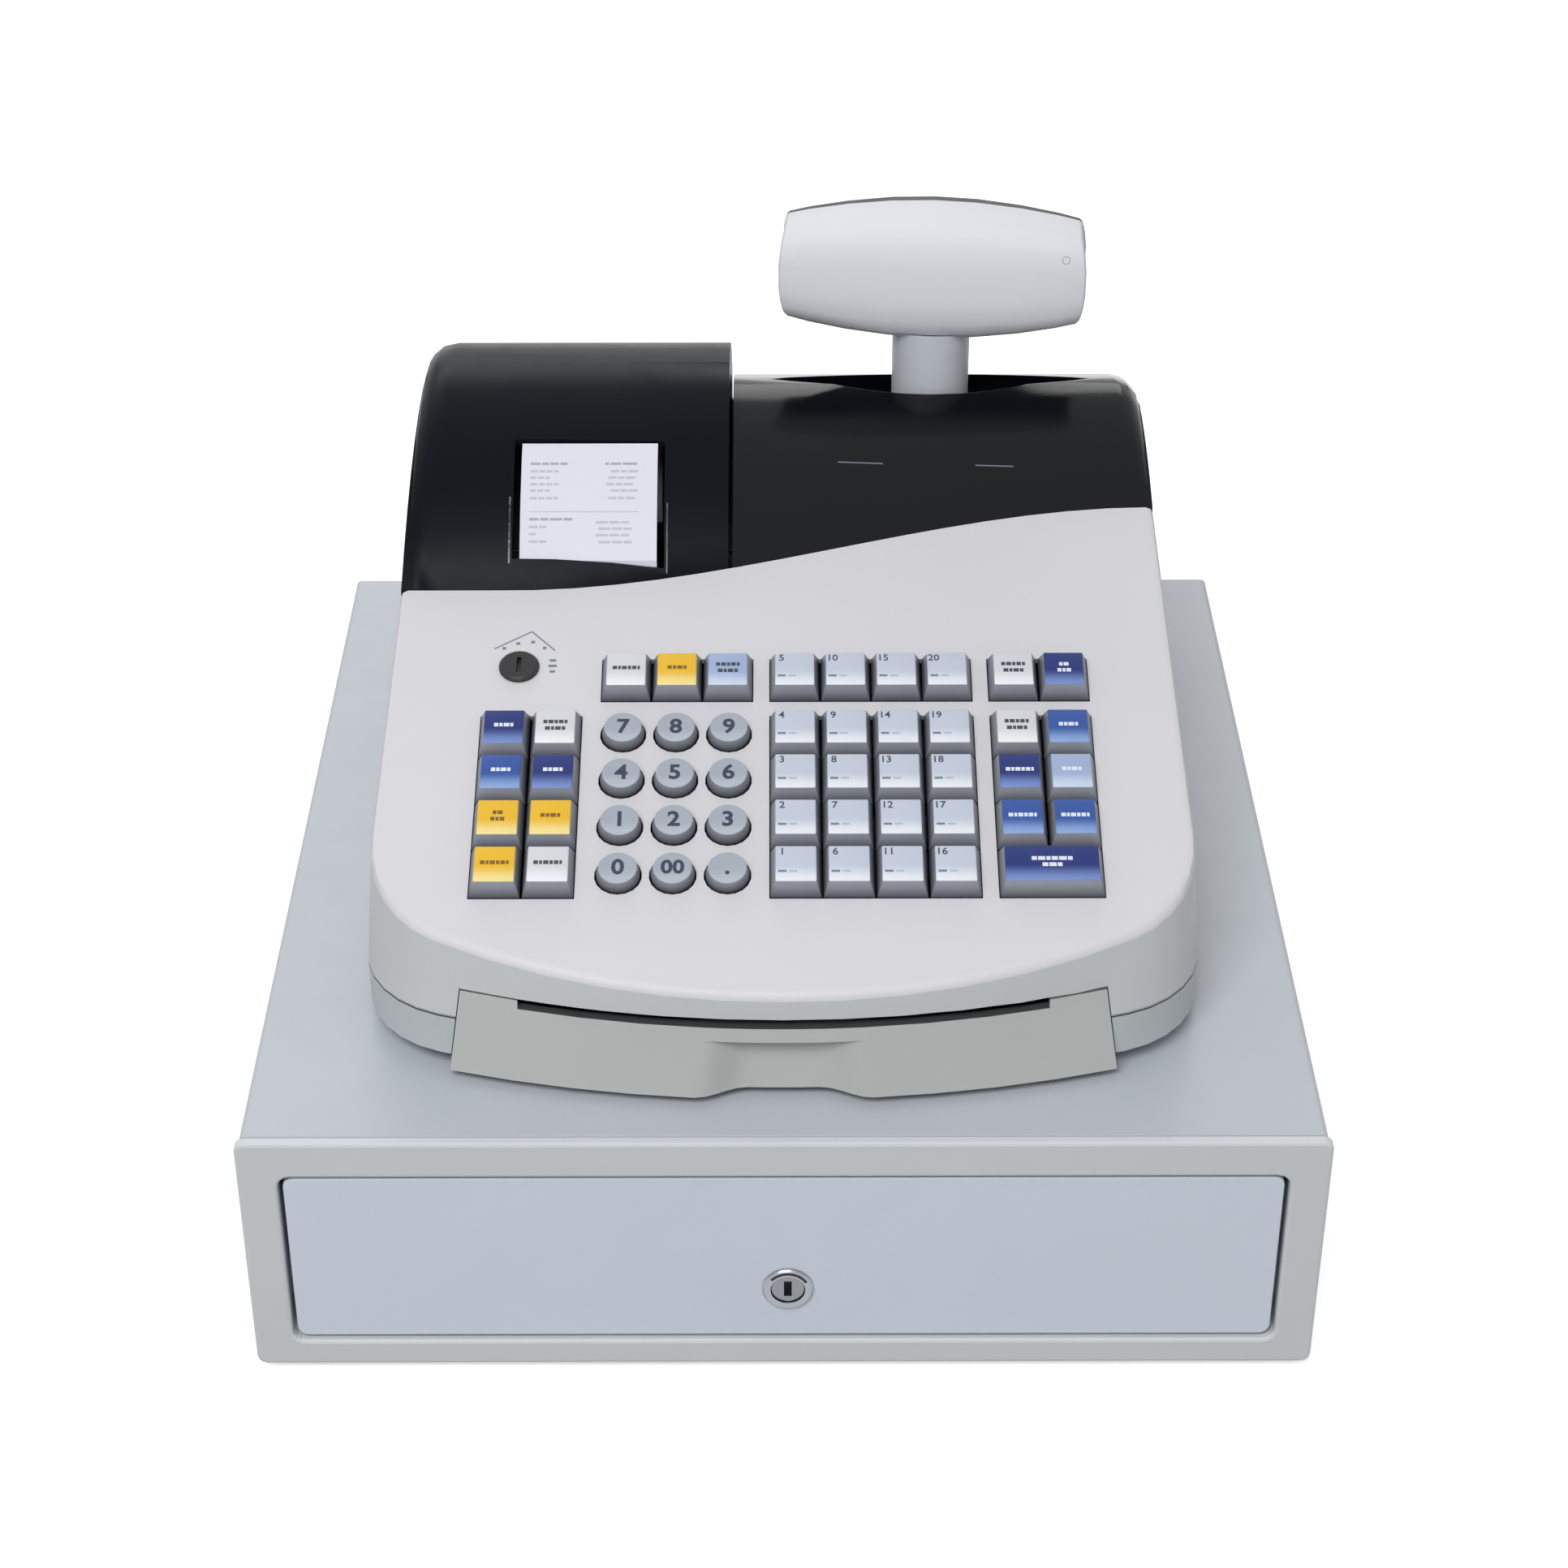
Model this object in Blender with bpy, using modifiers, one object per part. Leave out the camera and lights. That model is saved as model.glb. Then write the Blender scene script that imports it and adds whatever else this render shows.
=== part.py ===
"""Electronic cash register standing on a steel cash drawer cabinet.

Metres, +Z up. The origin is on the floor, under the middle of the cabinet, and the front faces -Y.
Every piece is one object. Moving pieces have their origin on their joint's axis.
"""
from math import asin, atan2, cos, hypot, pi, radians, sin, sqrt, tan

import bmesh
import bpy
from mathutils import Matrix, Vector

# Fits and sheet
GAP = 0.0004
RUNNING_GAP = 0.0006
OVERRUN = 0.002
STEEL = 0.0015
THIN_STEEL = 0.0012
WALL = 0.0025

# Cabinet
CABINET_WIDTH = 0.410
CABINET_DEPTH = 0.424
CABINET_HEIGHT = 0.113
FOOT_HEIGHT = 0.0035
FOOT_RADIUS = 0.011
FOOT_INSET = 0.030
BEZEL_LIP = 0.004
BEZEL_DEPTH = 0.016
BEZEL_CORNER = 0.0035
BEZEL_EDGE = 0.0012
COVER_SET_IN = 0.0015
COVER_FOLD_RADIUS = 0.0025
BEZEL_SIDE = 0.015
OPENING_WIDTH = CABINET_WIDTH - 2 * BEZEL_SIDE
OPENING_BOTTOM = 0.0150
OPENING_TOP = 0.0970
OPENING_CORNER = 0.0050
DRAWER_SEAM = 0.0017
PANEL_RECESS = 0.0016
PANEL_DEPTH = 0.010
PANEL_EDGE = 0.0008
RUNNER_BOTTOM = 0.0300
RUNNER_HEIGHT = 0.0140
RUNNER_REACH = 0.0100
SIDE_PAN_TOP = 0.0700

# Drawer
RELEASE_ROOM = 0.074
DRAWER_LENGTH = CABINET_DEPTH - RELEASE_ROOM
DRAWER_WALL_TOP = 0.0860
DRAWER_FLOOR = 0.0185

# Till insert
TILL_HEIGHT = 0.045
TILL_FRONT_ROOM = 0.034
TILL_BACK_ROOM = 0.016
TILL_LENGTH = DRAWER_LENGTH - TILL_FRONT_ROOM - TILL_BACK_ROOM
TILL_WALL = 0.0025
CUP_LENGTH = 0.068
CUP_SCOOP = 0.016
BAY_CORNER = 0.004
COLUMNS = 4
CUP_ROWS = 2
CLIP_PIN_RADIUS = 0.0016
CLIP_BARREL_RADIUS = 0.0030
CLIP_BARREL_WIDTH = 0.024
CLIP_EAR = 0.0030
CLIP_ARM = 0.0018
CLIP_ARM_WIDTH = 0.016
CLIP_REACH = 0.072
CLIP_PADDLE_WIDTH = 0.042
CLIP_PADDLE_LENGTH = 0.016
CLIP_FLOOR_GAP = 0.0015
CLIP_SET_BACK = 0.0065

# Lock
LOCK_X = 0.0015
LOCK_Z = 0.0410
LOCK_RING_RADIUS = 0.0098
LOCK_BARREL_RADIUS = 0.0085
LOCK_BARREL_LENGTH = 0.020
PLUG_RADIUS = 0.0063
PLUG_STEP = 0.0008
KEYWAY_WIDTH = 0.0030
KEYWAY_HEIGHT = 0.0074
KEYWAY_DEPTH = 0.008
LOCK_CAM_LENGTH = 0.017
LOCK_CAM_WIDTH = 0.009
LOCK_CAM_THICKNESS = 0.0025

# Drawer release
LATCH_PIVOT_Y_FROM_BACK = 0.047
LATCH_THICKNESS = 0.0025
LATCH_WIDTH = 0.010
LATCH_HOOK = 0.008
LATCH_PIN_RADIUS = 0.0025
COIL_LENGTH = 0.026
COIL_RADIUS = 0.009
YOKE = 0.002

# Register housing: the plan outline at the parting line and at the shoulder
PARTING_Z = 0.1390
UPPER_OUTLINE_Z = 0.2350
LOW_HALF_WIDTH, HIGH_HALF_WIDTH = 0.1615, 0.1558
LOW_NOSE_Y, HIGH_NOSE_Y = -0.1875, -0.1723
LOW_NOSE_RADIUS, HIGH_NOSE_RADIUS = 0.410, 0.255
CORNER_RADIUS = 0.045
BACK_CORNER_RADIUS = 0.010
HOUSING_BACK_Y = 0.196
CASE_BOTTOM_Z = 0.1210
CASE_FLOOR_Z = 0.1160
CASE_UNDERCUT = 0.010
STUD_RADIUS = 0.008
STUD_INSET = 0.045
SHOULDER_Z = 0.2180
VENT_COUNT, VENT_PITCH, VENT_WIDTH = 8, 0.0080, 0.0026
VENT_X, VENT_LOW_Z, VENT_HEIGHT = 0.070, 0.1600, 0.0280
LEAD_HOLE_RADIUS, LEAD_HOLE_X = 0.0045, -0.110
TALL_Z = 0.300

# Keyboard deck: a plane that rises away from the nose
DECK_SLOPE = radians(17.0)
DECK_NOSE_Y = -0.1840
DECK_NOSE_Z = 0.1610
DECK_EDGE_RADIUS = 0.0030

# Slip tray in the nose
TRAY_TOP_HALF, TRAY_BOTTOM_HALF = 0.1220, 0.1270
TRAY_TOP_Z = 0.1503
TRAY_BOTTOM_Z = 0.1172
TRAY_PANEL = 0.006
TRAY_LENGTH = 0.120
TRAY_WALL = 0.0020
TRAY_FLOOR_Z = 0.1215
TRAY_SIDE_TOP_Z = 0.1340
TRAY_INNER_HALF = 0.112
SLOT_HALF = 0.100
SLOT_HEIGHT = 0.0034
SCALLOP_HALF_TOP, SCALLOP_HALF_BOTTOM = 0.0304, 0.0338
SCALLOP_SOFT = 0.020
SCALLOP_TOP_Z = 0.1412
SCALLOP_LIP = 0.0006
SCALLOP_DEPTH = 0.0075
PANEL_SEAT = 0.034

# Keys, in the deck's own axes: u to the right, v up the slope, w out of the deck
KEY_PITCH = 0.0203
KEY_ROW_PITCH = 0.0230
KEY_GAP = 0.0008
KEY_TRAVEL = 0.0030
KEY_TOP_W = 0.0068
KEY_SKIRT_W = -0.0038
KEY_STEM_WIDTH = 0.0050
KEY_CORNER = 0.0010
PLATE_TOP_W = -0.0080
PLATE_THICKNESS = 0.0024
STEM_LENGTH = 0.0090
ROUND_KEY_RADIUS = 0.0084
ROUND_KEY_TOP_W = 0.0052
ROUND_HOLE_SHARE = 1.06
ROUND_PITCH_U = 0.0209
ROUND_PITCH_V = 0.0236
WELL_MARGIN = 0.0004
MAIN_ROWS_V = 0.0568
TOP_ROW_V = 0.1561
LEFT_BLOCK_U = -0.1099
NUMBER_BLOCK_U = -0.0631
NUMBER_BLOCK_V = 0.0566
TOP_BLOCK_U = -0.0625
DEPARTMENT_U = 0.0048
RIGHT_BLOCK_U = 0.0922
BOSS_RADIUS = 0.0032
SWITCH_U, SWITCH_V = -0.1060, 0.1631
SWITCH_RADIUS = 0.0082
SWITCH_RISE = 0.0022
SWITCH_DEPTH = 0.016
SWITCH_SLOT = 0.0016

# Boundary between the white deck and the black covers, from left to right
BOUNDARY_LEFT_Y, BOUNDARY_RIGHT_Y = 0.0128, 0.0581
BOUNDARY_START_X, BOUNDARY_END_X = -0.110, 0.155
COVER_SEAM = 0.0004
COVER_SIDE_IN = 0.0018
FRONT_BULGE, BACK_BULGE = 0.075, 0.050
HOOD_BULGE = 0.100

# Printer cover
PRINTER_RIGHT_X = -0.0222
HOOD_CREST_Y, HOOD_CREST_Z = 0.1120, 0.2765
HOOD_BACK_TOP_Z = 0.2345
HOOD_HINGE_RADIUS = 0.0040
HOOD_CORNER = 0.013
HOOD_WALL = 0.0025
PAPER_WIDTH = 0.0565
PAPER_X = -0.0800
WINDOW_MARGIN = 0.0030
WINDOW_TOP_Y = 0.0664
WINDOW_BOTTOM_SETBACK = 0.0052

# Rear cover
REAR_LEFT_X = -0.0207
REAR_CREST_Y, REAR_CREST_Z = 0.1160, 0.2640
REAR_BACK_TOP_Z = 0.2250
REAR_CORNER = 0.010
LENS_HALF_LENGTH = 0.0690
LENS_HALF_WIDTH = 0.0200
LENS_FLOOR_Z = 0.2460

# Customer display
NECK_X, NECK_Y = 0.0643, 0.1290
NECK_RADIUS = 0.0166
NECK_BOTTOM_Z = 0.2200
NECK_WALL = 0.0022
POD_WIDTH = 0.1300
POD_THICKNESS = 0.0420
POD_HEIGHT = 0.0580
POD_CENTRE_Z = 0.3125
POD_YAW = radians(-4.0)
POD_POWER_Y, POD_POWER_Z = 0.62, 0.72
POD_CROWN = 0.0075
POD_BULGE = 0.0050
POD_END_SHARES = (0.982, 0.995, 1.0)
POD_END_INSETS = (0.0002, 0.0008, 0.0020)
WINDOW_LENGTH = 0.104
WINDOW_HEIGHT = 0.026
WINDOW_THICKNESS = 0.0016
NECK_TRAVEL = 0.015

# Printer
ROLL_RADIUS = 0.029
ROLL_CORE_RADIUS = 0.0065
ROLL_Y, ROLL_Z = 0.1250, 0.2080
PLATEN_RADIUS = 0.0075
PLATEN_Y, PLATEN_Z = 0.0500, 0.1930
PLATEN_PIN_RADIUS = 0.0025
CHEEK = 0.0020
PAPER_THICKNESS = 0.0004
HEAD_THICKNESS = 0.006

# Electronics
BOARD_THICKNESS = 0.0016
BOARD_WIDTH, BOARD_LENGTH = 0.170, 0.105
BOARD_X, BOARD_Y = 0.055, 0.005
BOARD_Z = 0.1262
BOARD_POST_SHARE = 0.9
CHIP_HALF, CHIP_HEIGHT = 0.018, 0.003
DISPLAY_WIDTH, DISPLAY_HEIGHT, DISPLAY_DEPTH = 0.110, 0.026, 0.010

HALF_WIDTH = CABINET_WIDTH / 2
FRONT_Y = -CABINET_DEPTH / 2
BACK_Y = CABINET_DEPTH / 2
COVER_HALF = HALF_WIDTH - COVER_SET_IN


def new_collection(name):
    found = bpy.data.collections.new(name)
    bpy.context.scene.collection.children.link(found)
    return found


def clear_scene():
    for obj in list(bpy.data.objects):
        bpy.data.objects.remove(obj, do_unlink=True)


clear_scene()
PARTS = new_collection("cash_register")
CUTTERS = new_collection("cutters")


def material(name, colour, roughness, metallic=0.0):
    """A Principled material; the colour is sRGB, as seen."""
    made = bpy.data.materials.new(name)
    made.use_nodes = True
    shader = made.node_tree.nodes["Principled BSDF"]
    linear = [(c / 12.92) if c <= 0.04045 else ((c + 0.055) / 1.055) ** 2.4 for c in colour]
    shader.inputs["Base Color"].default_value = (*linear, 1.0)
    shader.inputs["Roughness"].default_value = roughness
    shader.inputs["Metallic"].default_value = metallic
    return made


def add(name, mesh, colour=(0.5, 0.5, 0.5), roughness=0.5, metallic=0.0, smooth=None):
    """A named part with its own material."""
    obj = bpy.data.objects.new(name, mesh)
    PARTS.objects.link(obj)
    mesh.materials.append(material(name, colour, roughness, metallic))
    if smooth is not None:
        mesh.shade_smooth()
        mesh.set_sharp_from_angle(angle=smooth)
    return obj


def helper(name, mesh):
    """A shape that only cuts or joins."""
    obj = bpy.data.objects.new(name, mesh)
    CUTTERS.objects.link(obj)
    obj.hide_render = True
    obj.display_type = "WIRE"
    return obj


def combine(obj, tool, operation):
    change = obj.modifiers.new(tool.name, "BOOLEAN")
    change.operation = operation
    change.object = tool
    change.solver = "EXACT"


def cut(obj, *tools):
    for tool in tools:
        combine(obj, tool, "DIFFERENCE")


def join(obj, *tools):
    for tool in tools:
        combine(obj, tool, "UNION")


def keep_inside(obj, tool):
    combine(obj, tool, "INTERSECT")


def box(low, high, name="box"):
    """A box between two corners."""
    work = bmesh.new()
    bmesh.ops.create_cube(work, size=1.0)
    low, high = Vector(low), Vector(high)
    size = high - low
    bmesh.ops.scale(work, vec=size, verts=work.verts)
    bmesh.ops.translate(work, vec=(low + high) / 2, verts=work.verts)
    return to_mesh(work, name)


def to_mesh(work, name):
    mesh = bpy.data.meshes.new(name)
    work.to_mesh(mesh)
    work.free()
    return mesh


def cylinder(radius, low, high, segments, name="cylinder"):
    """An upright cylinder on the Z axis."""
    work = bmesh.new()
    bmesh.ops.create_cone(
        work, cap_ends=True, segments=segments, radius1=radius, radius2=radius, depth=high - low
    )
    bmesh.ops.translate(work, vec=(0, 0, (low + high) / 2), verts=work.verts)
    return to_mesh(work, name)


def moved(mesh, *steps):
    """The mesh after each of these matrices in turn."""
    for step in steps:
        mesh.transform(step)
    return mesh


def joined_meshes(name, meshes):
    """Separate shells in one mesh, for one cutter."""
    work = bmesh.new()
    for mesh in meshes:
        work.from_mesh(mesh)
        bpy.data.meshes.remove(mesh)
    return to_mesh(work, name)


FOLD = radians(5)
ABOUT_X = Matrix.Rotation(pi / 2, 4, "X")
ALONG_X = Matrix.Rotation(pi / 2, 4, "Y")
ALONG_Y = Matrix.Rotation(-pi / 2, 4, "X")


def move(x=0.0, y=0.0, z=0.0):
    return Matrix.Translation((x, y, z))


def arc(centre, radius, start, end, count):
    """Points on an arc, both ends among them."""
    turn = (end - start) / (count - 1)
    return [
        (centre[0] + radius * cos(start + i * turn), centre[1] + radius * sin(start + i * turn))
        for i in range(count)
    ]


def rounded_rectangle(low, high, radius, count=4):
    """A rectangle's outline with round corners, anticlockwise."""
    x0, y0 = low
    x1, y1 = high
    r = radius
    return (
        arc((x1 - r, y0 + r), r, -pi / 2, 0, count)
        + arc((x1 - r, y1 - r), r, 0, pi / 2, count)
        + arc((x0 + r, y1 - r), r, pi / 2, pi, count)
        + arc((x0 + r, y0 + r), r, pi, 1.5 * pi, count)
    )


def plate(outlines, thickness, name="plate"):
    """A flat plate on the XY plane, its outline and holes drawn as a filled 2D curve."""
    curve = bpy.data.curves.new(name, "CURVE")
    curve.dimensions = "2D"
    curve.fill_mode = "BOTH"
    curve.extrude = thickness / 2
    for outline in outlines:
        spline = curve.splines.new("POLY")
        spline.points.add(len(outline) - 1)
        for point, (x, y) in zip(spline.points, outline):
            point.co = (x, y, 0.0, 1.0)
        spline.use_cyclic_u = True
    drawn = bpy.data.objects.new(name, curve)
    CUTTERS.objects.link(drawn)
    bpy.context.view_layer.update()
    graph = bpy.context.evaluated_depsgraph_get()
    mesh = bpy.data.meshes.new_from_object(drawn.evaluated_get(graph))
    bpy.data.objects.remove(drawn, do_unlink=True)
    bpy.data.curves.remove(curve)
    work = bmesh.new()
    work.from_mesh(mesh)
    bpy.data.meshes.remove(mesh)
    bmesh.ops.remove_doubles(work, verts=work.verts, dist=thickness / 1000)
    bmesh.ops.recalc_face_normals(work, faces=work.faces)
    bmesh.ops.translate(work, vec=(0, 0, thickness / 2), verts=work.verts)
    return to_mesh(work, name)


def side_plate(outlines, x0, x1, name="side_plate"):
    """A plate drawn in Y and Z that spans from x0 to x1."""
    mesh = plate(outlines, x1 - x0, name)
    return moved(mesh, Matrix(((0, 0, 1, x0), (1, 0, 0, 0), (0, 1, 0, 0), (0, 0, 0, 1))))


def front_plate(outlines, y0, y1, name="front_plate"):
    """A plate drawn in X and Z that spans from y0 to y1."""
    return moved(plate(outlines, y1 - y0, name), ABOUT_X, move(y=y1))


def loft(sections, name="loft"):
    """A closed skin through sections with equal numbers of points, and a cap at each end."""
    work = bmesh.new()
    rings = [[work.verts.new(point) for point in section] for section in sections]
    count = len(rings[0])
    for low, high in zip(rings, rings[1:]):
        for i in range(count):
            j = (i + 1) % count
            work.faces.new((low[i], low[j], high[j], high[i]))
    work.faces.new(rings[0][::-1])
    work.faces.new(rings[-1])
    bmesh.ops.recalc_face_normals(work, faces=work.faces)
    return to_mesh(work, name)


def turned(name, profile, steps, closed=False):
    """A turned shape about Z: its profile of (radius, height) runs down the outer side."""
    mesh = bpy.data.meshes.new(name)
    edges = [(i, i + 1) for i in range(len(profile) - 1)]
    if closed:
        edges.append((len(profile) - 1, 0))
    mesh.from_pydata([(r, 0, z) for r, z in profile], edges, [])
    spun = bpy.data.objects.new(name, mesh)
    CUTTERS.objects.link(spun)
    screw = spun.modifiers.new("Turn", "SCREW")
    screw.steps = screw.render_steps = steps
    screw.use_merge_vertices = True
    screw.merge_threshold = 0.00001
    graph = bpy.context.evaluated_depsgraph_get()
    solid = bpy.data.meshes.new_from_object(spun.evaluated_get(graph))
    bpy.data.objects.remove(spun, do_unlink=True)
    bpy.data.meshes.remove(mesh)
    work = bmesh.new()
    work.from_mesh(solid)
    bpy.data.meshes.remove(solid)
    bmesh.ops.recalc_face_normals(work, faces=work.faces)
    return to_mesh(work, name)


def bevelled(mesh, width, segments, pick):
    """The mesh with the folded edges that pick chooses rounded off."""
    work = bmesh.new()
    work.from_mesh(mesh)
    edges = [edge for edge in work.edges if edge.calc_face_angle(0.0) > FOLD and pick(edge)]
    bmesh.ops.bevel(work, geom=edges, offset=width, segments=segments, profile=0.5, affect="EDGES")
    work.to_mesh(mesh)
    work.free()
    return mesh


def at_level(edge, axis, level, reach=0.00005):
    return all(abs(vert.co[axis] - level) < reach for vert in edge.verts)


def inset_outline(points, distance):
    """An anticlockwise outline moved inwards by a distance."""
    found = []
    count = len(points)
    for i in range(count):
        before, here, after = points[i - 1], points[i], points[(i + 1) % count]
        a = Vector((here[0] - before[0], here[1] - before[1])).normalized()
        b = Vector((after[0] - here[0], after[1] - here[1])).normalized()
        normal_a = Vector((-a.y, a.x))
        normal_b = Vector((-b.y, b.x))
        middle = (normal_a + normal_b).normalized()
        reach = distance / max(middle.dot(normal_a), 0.3)
        found.append((here[0] + middle.x * reach, here[1] + middle.y * reach))
    return found


# Cabinet

def cabinet_foot(name, x, y):
    radius, height = FOOT_RADIUS, FOOT_HEIGHT - GAP
    profile = [
        (0, height),
        (radius, height),
        (radius, height / 2),
        (radius - height / 2, 0),
        (0, 0),
    ]
    foot = add(name, turned(name, profile, 20), (0.12, 0.12, 0.12), 0.9, smooth=radians(40))
    foot.location = (x, y, 0)
    return foot


def opening_outline(grow=0.0):
    return rounded_rectangle(
        (-OPENING_WIDTH / 2 - grow, OPENING_BOTTOM - grow),
        (OPENING_WIDTH / 2 + grow, OPENING_TOP + grow),
        OPENING_CORNER + grow,
        5,
    )


RUNNER_WEB_X = OPENING_WIDTH / 2 - GAP
RUNNER_TIP_X = RUNNER_WEB_X - RUNNER_REACH
PAN_OUT = COVER_HALF - STEEL - GAP
PAN_IN = PAN_OUT - STEEL
RUNNER_TOP = RUNNER_BOTTOM + RUNNER_HEIGHT


def pan_profile():
    """The folded floor pan with its sides and the drawer's runner channels, drawn in X and Z."""
    half = [
        (0, FOOT_HEIGHT),
        (PAN_OUT, FOOT_HEIGHT),
        (PAN_OUT, SIDE_PAN_TOP),
        (PAN_IN, SIDE_PAN_TOP),
        (PAN_IN, RUNNER_TOP + STEEL),
        (RUNNER_TIP_X, RUNNER_TOP + STEEL),
        (RUNNER_TIP_X, RUNNER_TOP),
        (RUNNER_WEB_X, RUNNER_TOP),
        (RUNNER_WEB_X, RUNNER_BOTTOM),
        (RUNNER_TIP_X, RUNNER_BOTTOM),
        (RUNNER_TIP_X, RUNNER_BOTTOM - STEEL),
        (PAN_IN, RUNNER_BOTTOM - STEEL),
        (PAN_IN, FOOT_HEIGHT + STEEL),
        (0, FOOT_HEIGHT + STEEL),
    ]
    right = half[1:-1]
    return right + [(-x, z) for x, z in reversed(right)]


def runner_hollow(side):
    """The empty space between a runner channel and the pan's side."""
    near, far = sorted((side * (RUNNER_WEB_X + STEEL), side * PAN_IN))
    low = (near, FRONT_Y, RUNNER_BOTTOM + GAP)
    return box(low, (far, BACK_Y - STEEL, RUNNER_TOP - GAP))


def make_cabinet():
    low, high = (-HALF_WIDTH, FOOT_HEIGHT), (HALF_WIDTH, CABINET_HEIGHT)
    face = rounded_rectangle(low, high, BEZEL_CORNER, 4)
    lip_back = FRONT_Y + BEZEL_LIP
    frame = front_plate([face, opening_outline()], FRONT_Y, lip_back, "bezel")
    bevelled(frame, BEZEL_EDGE, 2, lambda edge: at_level(edge, 1, FRONT_Y))
    base = add("cabinet_base", frame, (0.71, 0.73, 0.75), 0.45, 0.0)

    inner_low = (-PAN_OUT + GAP, FOOT_HEIGHT + GAP)
    inner_high = (PAN_OUT - GAP, CABINET_HEIGHT - STEEL - GAP)
    bezel_back = FRONT_Y + BEZEL_DEPTH
    ring = rounded_rectangle(inner_low, inner_high, BEZEL_CORNER, 3)
    band = front_plate([ring, opening_outline(GAP)], FRONT_Y + STEEL, bezel_back, "bezel_band")
    join(base, helper("bezel_band", band))
    hollow_ring = inset_outline(ring, STEEL)
    hollow = front_plate(
        [hollow_ring, opening_outline(STEEL)], FRONT_Y + 1.5 * STEEL, bezel_back + OVERRUN, "bezel_hollow"
    )
    cut(base, helper("bezel_hollow", hollow))

    pan_front = bezel_back - 2 * STEEL
    pan = helper("floor_pan", front_plate([pan_profile()], pan_front, BACK_Y - 2 * GAP, "floor_pan"))
    cut(pan, helper("runner_hollows", joined_meshes("runner_hollows", [runner_hollow(1), runner_hollow(-1)])))
    join(base, pan)
    back = box(
        (-PAN_OUT + GAP, BACK_Y - GAP - STEEL, FOOT_HEIGHT + STEEL / 2),
        (PAN_OUT - GAP, BACK_Y - GAP, CABINET_HEIGHT - STEEL - GAP),
        "back_wall",
    )
    join(base, helper("back_wall", back))

    fold = COVER_FOLD_RADIUS
    outer = (
        [(-COVER_HALF, FOOT_HEIGHT + GAP), (-COVER_HALF + STEEL, FOOT_HEIGHT + GAP)]
        + arc((-COVER_HALF + fold, CABINET_HEIGHT - fold), fold - STEEL, pi, pi / 2, 3)
        + arc((COVER_HALF - fold, CABINET_HEIGHT - fold), fold - STEEL, pi / 2, 0, 3)
        + [(COVER_HALF - STEEL, FOOT_HEIGHT + GAP), (COVER_HALF, FOOT_HEIGHT + GAP)]
        + arc((COVER_HALF - fold, CABINET_HEIGHT - fold), fold, 0, pi / 2, 4)
        + arc((-COVER_HALF + fold, CABINET_HEIGHT - fold), fold, pi / 2, pi, 4)
    )
    cover = front_plate([outer], lip_back + DRAWER_SEAM / 2, BACK_Y, "cabinet_cover")
    add("cabinet_cover", cover, (0.74, 0.77, 0.81), 0.4)

    foot_x, foot_y = HALF_WIDTH - FOOT_INSET, BACK_Y - FOOT_INSET
    corners = [(-foot_x, -foot_y), (foot_x, -foot_y), (-foot_x, foot_y), (foot_x, foot_y)]
    for number, (x, y) in enumerate(corners, 1):
        cabinet_foot(f"cabinet_foot_{number}", x, y)


# Drawer

PANEL_FRONT_Y = FRONT_Y + PANEL_RECESS
PANEL_BACK_Y = PANEL_FRONT_Y + PANEL_DEPTH
DRAWER_FRONT_Y = PANEL_BACK_Y + GAP
DRAWER_BACK_Y = DRAWER_FRONT_Y + DRAWER_LENGTH
DRAWER_HALF = RUNNER_TIP_X - RUNNING_GAP
RIDER_OUT_X = RUNNER_WEB_X - RUNNING_GAP
RIDER_BOTTOM = RUNNER_BOTTOM + RUNNING_GAP
RIDER_TOP = RUNNER_TOP - RUNNING_GAP


def drawer_profile():
    """The folded drawer with the runners on its sides, drawn in X and Z."""
    half = [
        (DRAWER_HALF, DRAWER_FLOOR),
        (DRAWER_HALF, RIDER_BOTTOM),
        (RIDER_OUT_X, RIDER_BOTTOM),
        (RIDER_OUT_X, RIDER_TOP),
        (DRAWER_HALF, RIDER_TOP),
        (DRAWER_HALF, DRAWER_WALL_TOP),
        (DRAWER_HALF - THIN_STEEL, DRAWER_WALL_TOP),
        (DRAWER_HALF - THIN_STEEL, DRAWER_FLOOR + THIN_STEEL),
    ]
    return half + [(-x, z) for x, z in reversed(half)]


def lock_hole(radius, y0, y1, name):
    hole = cylinder(radius, y0, y1, 24, name)
    return helper(name, moved(hole, ALONG_Y, move(x=LOCK_X, z=LOCK_Z)))


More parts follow.
